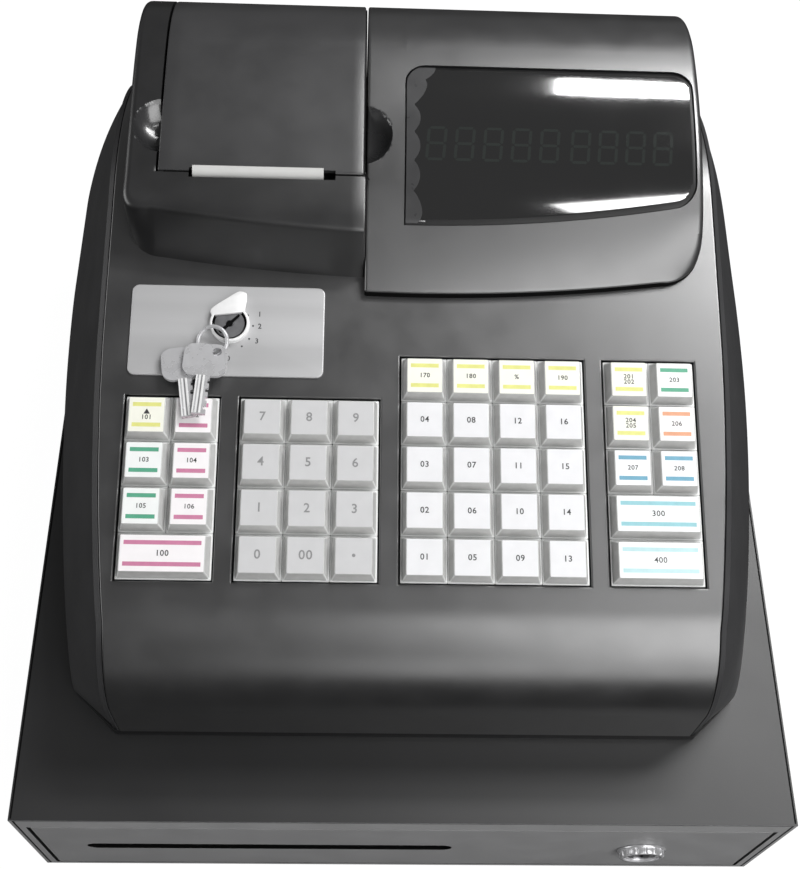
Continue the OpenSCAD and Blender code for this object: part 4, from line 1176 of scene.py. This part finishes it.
class RegisterWindow(BuildOperator):
    """Display window with its unlit digits and the film at its edge"""

    bl_idname = "register.window"
    bl_label = "Display window"

    def build(self):
        self.window()
        self.digits()
        self.film()
        repaint("display_board", "board")

    def window(self):
        """The window on its barrel: columns across, rows from the front border and from the far one that meet
        in the middle. The distance to its rounded outline gives the rolled edge and the dull rim."""
        f = finishes()
        edge, rim_width, square_to = 1.1, 2.4, LENS_X[0] + 30
        low, high = LENS_X[0] + LENS_GAP, LENS_X[1] - LENS_GAP
        corner = LENS_CORNER - LENS_GAP
        a = np.radians(np.arange(0, 91, 9))
        steps = edge * np.array([0, 0.05, 0.2, 0.45, 0.75, 1])
        from_end = np.unique(np.round(np.concatenate([corner * (1 - np.cos(a)), steps]), 4))
        x = np.concatenate([low + from_end, np.linspace(low + 14, high - 14, 16), (high - from_end)[::-1]])
        cut = rolled(np.clip(np.maximum(low + corner - x, x - high + corner), 0, corner), corner)
        front, far = lens_front(x) + LENS_GAP + cut * (x > square_to), LENS_D[1] - LENS_GAP - cut
        t = np.concatenate([steps, [1.4, 1.7, 2.0, 2.3, 2.6, 2.9, 3.2], np.linspace(4, 34, 22)])
        squeeze = np.clip((far - front) / 69, 0.4, 1)
        d = np.vstack([front + t[:, None] * squeeze, far - t[::-1, None] * squeeze])
        x = np.broadcast_to(x, d.shape)
        middle_d = (lens_front(x) + LENS_D[1]) / 2
        bend = np.where((x < square_to) & (d < middle_d), 0.3, corner)
        qx = np.abs(x - (low + high) / 2) - ((high - low) / 2 - bend)
        qd = np.abs(d - middle_d) - (LENS_D[1] - middle_d - LENS_GAP - bend)
        inside = bend - (np.hypot(np.maximum(qx, 0), np.maximum(qd, 0)) + np.minimum(np.maximum(qx, qd), 0))
        film_side = (x < LENS_X[0] + 8) & (inside > edge)
        rim = ((inside < rim_width) & ~film_side)[:-1, :-1]
        sunk = 0.7 * rolled(np.clip(edge - inside, 0, edge), edge)
        points = on_window(x, d)
        points[..., 2] -= np.maximum(sunk, border_drop(np.minimum(d - front, far - d)))
        one_grid(
            points, "window_dressed", "base", [f["smoke"], f["lens_rim"]], "lens_plastic", "display_window",
            marks=rim.astype(int), wall=1.8, smooth=70,
        )

    def digits(self):
        """Seven bars to a digit, each a slim hexagon, laid on the window's barrel in a group of five and one of
        four."""
        s = bpy.context.scene.register_sizes
        h, w, t = s.digit_height / MM / 2, 3.6, s.digit_stroke / MM / 2
        row, slant, foreshortened = 255, 0.08, 0.94
        across = np.array([(-w, 0), (-w + t, t), (w - t, t), (w, 0), (w - t, -t), (-w + t, -t)]) * (0.93, 1)
        upright = np.stack([across[:, 1], across[:, 0] * (h / 2) / w], 1)
        bars = np.stack(
            [across + (0, y) for y in (-h, 0, h)] + [upright + (x, y) for x in (-w, w) for y in (-h / 2, h / 2)]
        )
        centres = np.concatenate([7.9 + 12.1 * np.arange(5), 69.6 + 11.8 * np.arange(4)])
        x, y = bars[..., 0] + centres[:, None, None], bars[..., 1]
        points = on_window(x + slant * y, row + y * foreshortened, 0.03)
        skin = Skin()
        skin.add(points, np.arange(points.size // 3).reshape(-1, 6).tolist())
        skin.make("digits_dressed", "base", finishes()["ghost"], "lens_plastic", mend=False)

    def film(self):
        """A strip of clear film at the window's left edge, with a scalloped border: width + a · |sin|, widened
        at both ends."""
        depth = np.linspace(LENS_D[0] + 0.8, LENS_D[1] - 1.2, 90)
        t = (depth - depth[0]) / (depth[-1] - depth[0])
        width = 2.4 + 3.0 * np.abs(np.sin(t * math.pi * 5.5)) ** 0.7 + 6.5 * smooth_step((t - 0.72) / 0.28)
        width += 2.0 * smooth_step((0.16 - t) / 0.16)
        low = LENS_X[0] + 0.7 + rolled(np.clip(depth - LENS_D[1] + 9.5, 0, 8.9), LENS_CORNER)
        u = np.linspace(0, 1, 9)
        x = lerp(low[:, None], np.maximum(LENS_X[0] + 1.2 + width, low + 0.4)[:, None], u)
        points = on_window(x, depth[:, None], 0.05)
        points[..., 2] -= border_drop(points[..., 1] - lens_front(x) - LENS_GAP)
        one_grid(points, "film_dressed", "base", finishes()["film"], "lens_plastic")


class RegisterPrinter(BuildOperator):
    """Printer mechanism, platen and paper roll"""

    bl_idname = "register.printer"
    bl_label = "Printer"

    def build(self):
        f = finishes()
        softened("mechanism_dressed", "printer_mechanism", f["inner"], 0.4)
        softened("platen_dressed", "platen_roller", f["rubber"], 0.3)
        softened("roll_dressed", "paper_roll", f["paper"], 0.3)


class RegisterLock(BuildOperator):
    """Label plate, mode lock and the keys on their ring"""

    bl_idname = "register.lock"
    bl_label = "Mode lock"

    def build(self):
        f = finishes()
        self.plate()
        self.collar()
        softened("mode_barrel_dressed", "mode_lock_barrel", f["lock_face"], 0.15)
        self.keyway()
        softened("key_ring_dressed", "keys_on_ring", f["key_metal"], 0.28)
        self.blade_grooves()

    def on_lock(self, points):
        """Brings points about the lock's middle, as (x, up the slope, height over the labels), into place."""
        return on_keys(np.asarray(points, float) + (LOCK_X, LOCK_S, 0))

    def collar(self):
        """A bright ring with a dark bore, a profile turned round the barrel, and the pointer tab beside it:
        ring and tab are near-white painted sheen for plated metal that mirrors a lamp, and the bore is painted
        shade.
        """
        f = finishes()
        skin = Skin()
        rim = [(7.0, -14), (7.0, -3.45), (8.2, -3.45), (8.2, -0.85), (8.1, -0.6), (7.9, -0.47), (7.4, -0.45),
               (7.15, -0.55)]
        bore = [(7.15, -0.55), (7.0, -0.9), (6.95, -2.4), (6.26, -2.5), (6.26, -14), (7.0, -14)]
        skin.grid(self.on_lock(revolve(rim, 72)), ring=True)
        skin.grid(self.on_lock(revolve(bore, 72)), marks=1, ring=True)
        tab = smooth_line([(-7.5, 3.2), (-7.9, 6.0), (-3.0, 9.9), (2.2, 13.5), (4.2, 14.2), (6.2, 13.5),
                           (6.8, 11.8), (6.4, 8.5), (6.0, 5.0)], 5)
        middle = tab.mean(0)
        levels = [(1, -2.45), (1, -0.75), (0.985, -0.55), (0.95, -0.45)]
        rings = np.stack([at_level(middle + (tab - middle) * k, w) for k, w in levels])
        skin.grid(self.on_lock(rings), ring=True)
        for face in (rings[0], rings[-1]):
            skin.add(self.on_lock(face), [list(range(len(tab)))])
        skin.make(
            "mode_collar_dressed", "base", [f["key_shine"], f["shade"]], "lock_chrome", "mode_lock_collar",
            smooth=35,
        )

    def blade_grooves(self):
        """Milled lines along both key blades: slim strips laid on the blade, turned with the key, the bright
        ones a painted highlight and the dark one painted shade in the groove."""
        lean, tip, root, face = -10, -24.6, -7.2, 1.63
        skin = Skin()
        for x, s, w, turn in ((-95.5, 79.5, -1.6, 9.0), (-86.5, 80.5, 0.05, -3.0)):
            for x0, x1, mark in ((-2.7, -2.1, 0), (-1.5, -0.7, 0), (-0.7, 0.0, 1), (0.0, 0.9, 0)):
                strip = np.array([(x0, tip, face), (x1, tip, face), (x1, root, face), (x0, root, face)])
                strip = turned(turned(strip, lean, 1, 2), turn, 0, 1)
                skin.add(on_keys(strip + (x, s, w)), [[0, 1, 2, 3]], mark)
        f = finishes()
        skin.make(
            "key_grooves_dressed", body_of("keys_on_ring"), [f["key_shine"], f["key_groove"]], "key_chrome",
            mend=False,
        )

    def keyway(self):
        """The dark keyway: a slim slot with a round middle, laid flat on the barrel in painted shade for the
        slot's shadow.
        """
        along, across = np.array([1, 1]) / math.sqrt(2), np.array([-1, 1]) / math.sqrt(2)
        slot = np.array([
            a * along * 5.6 + b * across * (0.5 if a > 0 else 0.8)
            for a, b in ((-1, -1), (1, -1), (1, 1), (-1, 1))
        ])
        dot = arc((0, 0), 1.25, 0, 345, 23)
        skin = Skin()
        for shape, w in ((slot, -1.57), (dot, -1.55)):
            skin.add(self.on_lock(at_level(shape, w)), [list(range(len(shape)))])
        skin.make("keyway_dressed", body_of("mode_lock_barrel"), finishes()["shade"], "lock_steel", mend=False)

    def plate(self):
        """The plate: rounded rectangles at rising levels, closed by a flat face, with its printed numbers on
        top."""
        left, right, low, high, print_level = -118.9, -38.2, 75.6, 115.6, -3.42
        centre, half = ((left + right) / 2, (low + high) / 2), ((right - left) / 2, (high - low) / 2)
        levels = [(0, -4.48), (0, -3.78), (0.06, -3.62), (0.3, -3.48), (0.5, -3.46)]
        rings = np.stack([
            at_level(round_rect(half[0] - i, half[1] - i, 3 - i, 6) + centre, w) for i, w in levels
        ])
        skin = Skin()
        skin.grid(on_keys(rings), ring=True)
        skin.add(on_keys(rings[-1]), [list(range(len(rings[-1])))])
        for text, x, s in (("0", -77.6, 83.2), ("1", -65.3, 103.1), ("2", -65.1, 97.7), ("3", -66.1, 91.1)):
            p, faces = lettering(text, 2.2)
            skin.add(on_keys(at_level(p + (x, s), print_level)), faces, 1)
        spot = arc((0, 0), 0.42, 0, 330, 11)
        for x, s in ((-70.2, 102.6), (-67.9, 97.9), (-69.3, 92.1), (-72.2, 88.7)):
            skin.add(on_keys(at_level(spot + (x, s), print_level)), [list(range(len(spot)))], 1)
        f = finishes()
        skin.make("plate_dressed", "base", [f["plate"], f["ink"]], "plate_aluminium", "label_plate", mend=False)


# label colour and plain sign of each function key, by node
LEFT_LABELS = [("key_left_1", "yellow", "\u25b2\n101"), ("key_left_2", "pink", "102"),
               ("key_left_3", "green", "103"), ("key_left_4", "pink", "104"),
               ("key_left_5", "green", "105"), ("key_left_6", "pink", "106")]
RIGHT_LABELS = [("key_right_1", "yellow", "201\n202"), ("key_right_2", "green", "203"),
                ("key_right_3", "yellow", "204\n205"), ("key_right_4", "orange", "206"),
                ("key_right_5", "blue", "207"), ("key_right_6", "blue", "208")]
DEPARTMENT_SIGNS = ("170", "180", "%", "190")
PLAIN_LABELS = ("white", "grey")
# the caps' levels from the flange up: how far inside the key's field, corner radius, height over the labels
CAP_LEVELS = [(0.05, 0.35, -6.2), (0.05, 0.35, -5.6), (0.15, 0.4, -5.45), (0.6, 0.5, -5.4), (0.7, 0.6, -5.25),
              (2.0, 0.7, 0.3), (2.07, 0.65, 0.55), (2.2, 0.6, 0.72), (2.35, 0.5, 0.8)]
LABEL_LEVEL, BAR_LEVEL, SIGN_LEVEL = 0.83, 0.86, 0.88
BAR_S, BAR_HALF = 4.3, 0.85
FUNCTION_SIGN, WIDE_SIGN, DEPARTMENT_SIGN, NUMBER_SIGN = 1.9, 2.3, 2.4, 3.7


class RegisterKeys(BuildOperator):
    """Key caps with their labels"""

    bl_idname = "register.keys"
    bl_label = "Keys"

    def build(self):
        """Every cap is (x of its middle, row, width in pitches, colour, sign, height of the sign)."""
        self.key("key_clear", [(-99.5, 0, 2, "pink", "100", WIDE_SIGN)])
        for i, (node, colour, sign) in enumerate(LEFT_LABELS):
            self.key(node, [(KEY_LEFT[i % 2], 3 - i // 2, 1, colour, sign, FUNCTION_SIGN)])
        self.key("key_total", [(97.9, 0, 2, "pale_cyan", "400", WIDE_SIGN)])
        self.key("key_subtotal", [(97.9, 1, 2, "cyan", "300", WIDE_SIGN)])
        for i, (node, colour, sign) in enumerate(RIGHT_LABELS):
            self.key(node, [(KEY_RIGHT[i % 2], 4 - i // 2, 1, colour, sign, FUNCTION_SIGN)])
        for i in range(1, 10):
            x, row = KEY_NUMBERS[(i - 1) % 3], 1 + (i - 1) // 3
            self.key(f"key_{i}", [(x, row, 1, "grey", str(i), NUMBER_SIGN)])
        for node, x, sign in (("key_0", 0, "0"), ("key_00", 1, "00"), ("key_point", 2, "\u2022")):
            self.key(node, [(KEY_NUMBERS[x], 0, 1, "grey", sign, NUMBER_SIGN)])
        for c, x in enumerate(KEY_DEPARTMENTS):
            caps = [(x, r, 1, "white", f"{4 * c + r + 1:02d}", DEPARTMENT_SIGN) for r in range(4)]
            caps.append((x, 4, 1, "yellow", DEPARTMENT_SIGNS[c], FUNCTION_SIGN))
            self.key(f"dept_keys_{c + 1}", caps)

    def key(self, node, caps):
        """One piece for all caps of a node; its "edge" attribute marks the rims and the sloping corners for a
        painted highlight.
        """
        slots = ["clear"]
        for colour in (cap[3] for cap in caps):
            slots += [colour] if colour in PLAIN_LABELS else [colour + "_label", colour]
        slots = list(dict.fromkeys(slots + ["soft_ink" if "grey" in slots else "ink"]))
        skin = Skin()
        for cap in caps:
            self.cap(skin, cap, slots)
        looks = [finishes()[n] for n in slots]
        mesh = skin.make(node + "_cap", body_of(node), looks, "key_cap", node, smooth=28, mend=False).data
        points = read(mesh.vertices, "co") / MM - (0, FRONT_Y, 0)
        rel = points[:, 1:] - (LABEL_D, LABEL_Z)
        s, w = rel @ (COS, SIN), rel @ (-SIN, COS)
        # painted highlight: the flanges' rims and the skirts' sloping corners get the lighter edge colour
        value = np.where(w < -5.3, 0.9, 0.0)
        for x, row, n in (cap[:3] for cap in caps):
            ax = n * PITCH / 2 - np.abs(points[:, 0] - x)
            ay = PITCH / 2 - np.abs(s - row * PITCH)
            corner = (ax > 0) & (ay > 0) & (abs(ax - ay) < 0.35) & (w < 0.4)
            value = np.where(corner, 0.85, value)
        attribute = mesh.attributes.new("edge", "FLOAT", "POINT")
        attribute.data.foreach_set("value", value.astype(np.float32))

    def cap(self, skin, cap, slots):
        """A cap: rounded rectangles from the flange up the sloping skirt over a rounded edge to the top, then
        the label, its two bars and its sign as thin layers laid on it."""
        size = bpy.context.scene.register_sizes
        x, row, n, colour, sign, height = cap
        middle = (x, row * PITCH)
        half_x, half_y = n * PITCH / 2, PITCH / 2
        rings = np.stack([
            at_level(round_rect(half_x - i, half_y - i, r, 3) + middle, w) for i, r, w in CAP_LEVELS
        ])
        skin.grid(on_keys(rings), ring=True)
        skin.add(on_keys(rings[-1]), [list(range(len(rings[-1])))])
        wide = half_x - half_y + size.label_width / MM / 2
        high = size.label_width / MM / 2 + 0.15

        def patch(half, y0, y1, w, name):
            """Lays a rectangle on the cap."""
            p = [(x + a * half, middle[1] + y, w) for a, y in ((-1, y0), (1, y0), (1, y1), (-1, y1))]
            skin.add(on_keys(p), [[0, 1, 2, 3]], slots.index(name))

        plain = colour in PLAIN_LABELS
        patch(wide, -high, high, LABEL_LEVEL, colour if plain else colour + "_label")
        if not plain:
            for y in (-BAR_S, BAR_S):
                patch(wide - 1.3, y - BAR_HALF, y + BAR_HALF, BAR_LEVEL, colour)
        p, faces = lettering(sign, height)
        skin.add(on_keys(at_level(p + middle, SIGN_LEVEL)), faces, len(slots) - 1)


class RegisterStageBuild(BuildOperator):
    """Floor, camera, lamps and ambient light"""

    bl_idname = "register.stage"
    bl_label = "Stage"

    def build(self):
        self.camera()
        self.floor()
        self.lamps()
        self.world()
        bpy.context.scene.view_settings.view_transform = "Standard"

    def camera(self):
        """The camera looks down by the pitch, turned by the yaw; its picture is turned by the roll."""
        s = bpy.context.scene.register_stage
        pitch, roll, yaw = s.camera_pitch, s.camera_roll, s.camera_yaw
        forward = Vector((-math.sin(yaw) * math.cos(pitch), math.cos(yaw) * math.cos(pitch), -math.sin(pitch)))
        right = Vector((math.cos(yaw), math.sin(yaw), 0))
        down = forward.cross(right)
        image_right = math.cos(roll) * right + math.sin(roll) * down
        image_down = -math.sin(roll) * right + math.cos(roll) * down
        data = bpy.data.cameras.new("camera")
        data.lens, data.sensor_width, data.sensor_fit = s.lens, 36, "AUTO"
        data.clip_start, data.clip_end = 0.02, 30
        camera = bpy.data.objects.new("camera", data)
        stand = Vector(s.camera_place) + Vector((0, FRONT_Y * MM, 0))
        camera.matrix_world = placed(stand, image_right, -image_down, -forward)
        bpy.context.scene.collection.objects.link(camera)
        bpy.context.scene.camera = camera

    def floor(self):
        """A wide floor with the object's shadow in it, pale for the camera and dark for mirrored rays."""
        c = bpy.context.scene.register_colours
        mesh = bpy.data.meshes.new("floor")
        mesh.from_pydata([(-6, -6, 0), (6, -6, 0), (6, 6, 0), (-6, 6, 0)], [], [(0, 1, 2, 3)])
        floor = bpy.data.objects.new("floor", mesh)
        bpy.context.scene.collection.objects.link(floor)
        material = finish("floor", c.floor, 0.8, specular=0.2, mottle=0.01, mottle_size=300)
        glow, glow_share, mirrored_glow = 1.3, 0.75, 0.03
        nodes, links = material.node_tree.nodes, material.node_tree.links
        path = nodes.new("ShaderNodeLightPath")
        seen = nodes.new("ShaderNodeMath")
        seen.operation = "MULTIPLY"
        seen.inputs[1].default_value = glow_share
        links.new(path.outputs["Is Camera Ray"], seen.inputs[0])

        def blended(share, shader, strength):
            """Mixes an even glow into a shader."""
            light, mix = nodes.new("ShaderNodeEmission"), nodes.new("ShaderNodeMixShader")
            light.inputs["Strength"].default_value = strength
            links.new(share, mix.inputs["Fac"])
            links.new(shader, mix.inputs[1])
            links.new(light.outputs["Emission"], mix.inputs[2])
            return mix.outputs["Shader"]

        pale = blended(seen.outputs[0], nodes["Principled BSDF"].outputs["BSDF"], glow)
        pale = blended(path.outputs["Is Glossy Ray"], pale, mirrored_glow)
        links.new(pale, nodes["Material Output"].inputs["Surface"])
        mesh.materials.append(material)

    def lamps(self):
        """Soft boxes, each a rectangle from one edge along a fall, whose bright side faces the register."""
        s = bpy.context.scene.register_stage
        for name, radiance, left, right, fall in (
            ("rear", s.rear, (0.25, 0.635, 1.4), (0.9, 0.59, 1.4), (0.01, 0.15, 0.0)),
            ("strip", s.strip, (0.235, -0.20, 1.4), (0.62, 0.01, 1.4), (0.035, -0.065, 0.0)),
            ("key", s.key, (1.0, 0.6, 1.55), (1.25, 0.45, 1.55), (0.05, 0.08, -0.2)),
            ("front", s.front, (0.06, -0.53, 1.4), (0.95, -0.27, 1.4), (0.2, -0.7, -0.75)),
            ("right", s.right, (0.49, 0.27, 1.45), (0.49, 0.53, 1.45), (0.6, 0.0, -0.3)),
            ("low", s.low, (0.0, -1.4, 0.7), (1.1, -1.1, 0.7), (0.0, -0.05, -0.5)),
            ("left", s.left, (-1.4, -0.6, 0.95), (-1.4, 0.8, 0.95), (-0.1, 0.0, -0.85)),
        ):
            if radiance <= 0:
                continue
            left, right, fall = Vector(left), Vector(right), Vector(fall)
            middle = (left + right + fall) / 2
            across, up = (right - left).normalized(), -fall.normalized()
            away = across.cross(up)
            if away.dot(middle - Vector((0, 0, 0.15))) < 0:
                across, away = -across, -away
            data = bpy.data.lights.new(name, "AREA")
            data.shape, data.size, data.size_y = "RECTANGLE", (right - left).length, fall.length
            data.energy = math.pi * radiance * data.size * data.size_y
            lamp = bpy.data.objects.new(name, data)
            lamp.matrix_world = placed(middle, across, away.cross(across), away)
            bpy.context.scene.collection.objects.link(lamp)

    def world(self):
        """Even light all round, which the camera sees as white."""
        s = bpy.context.scene.register_stage
        world = bpy.data.worlds.new("room")
        world.use_nodes = True
        bpy.context.scene.world = world
        nodes, links = world.node_tree.nodes, world.node_tree.links
        back = nodes["Background"]
        back.inputs["Color"].default_value = (1, 1, 1, 1)
        path = nodes.new("ShaderNodeLightPath")
        lift = nodes.new("ShaderNodeMapRange")
        lift.inputs["To Min"].default_value, lift.inputs["To Max"].default_value = s.sky, 1.0
        links.new(path.outputs["Is Camera Ray"], lift.inputs["Value"])
        links.new(lift.outputs["Result"], back.inputs["Strength"])


class RegisterPanel(bpy.types.Panel):
    """Settings and build steps in the sidebar"""

    bl_idname = "VIEW3D_PT_cash_register"
    bl_label = "Cash Register"
    bl_space_type = "VIEW_3D"
    bl_region_type = "UI"
    bl_category = "Cash Register"

    def draw(self, context):
        scene = context.scene
        for group in (scene.register_sizes, scene.register_colours, scene.register_stage):
            box = self.layout.box()
            for key in group.__annotations__:
                box.prop(group, key)
        for operator in STEPS:
            self.layout.operator(operator.bl_idname)


GROUPS = (RegisterSizes, RegisterColours, RegisterStage)
STEPS = (
    RegisterStageBuild, RegisterDrawer, RegisterBody, RegisterHoods, RegisterCover, RegisterWindow,
    RegisterPrinter, RegisterLock, RegisterKeys,
)


def register():
    for c in GROUPS + STEPS + (RegisterPanel,):
        bpy.utils.register_class(c)
    bpy.types.Scene.register_sizes = bpy.props.PointerProperty(type=RegisterSizes)
    bpy.types.Scene.register_colours = bpy.props.PointerProperty(type=RegisterColours)
    bpy.types.Scene.register_stage = bpy.props.PointerProperty(type=RegisterStage)


def unregister():
    del bpy.types.Scene.register_stage, bpy.types.Scene.register_colours, bpy.types.Scene.register_sizes
    for c in reversed(GROUPS + STEPS + (RegisterPanel,)):
        bpy.utils.unregister_class(c)


def main():
    """Runs every step."""
    register()
    for step in STEPS:
        category, name = step.bl_idname.split(".")
        getattr(getattr(bpy.ops, category), name)()


if __name__ == "__main__":
    main()
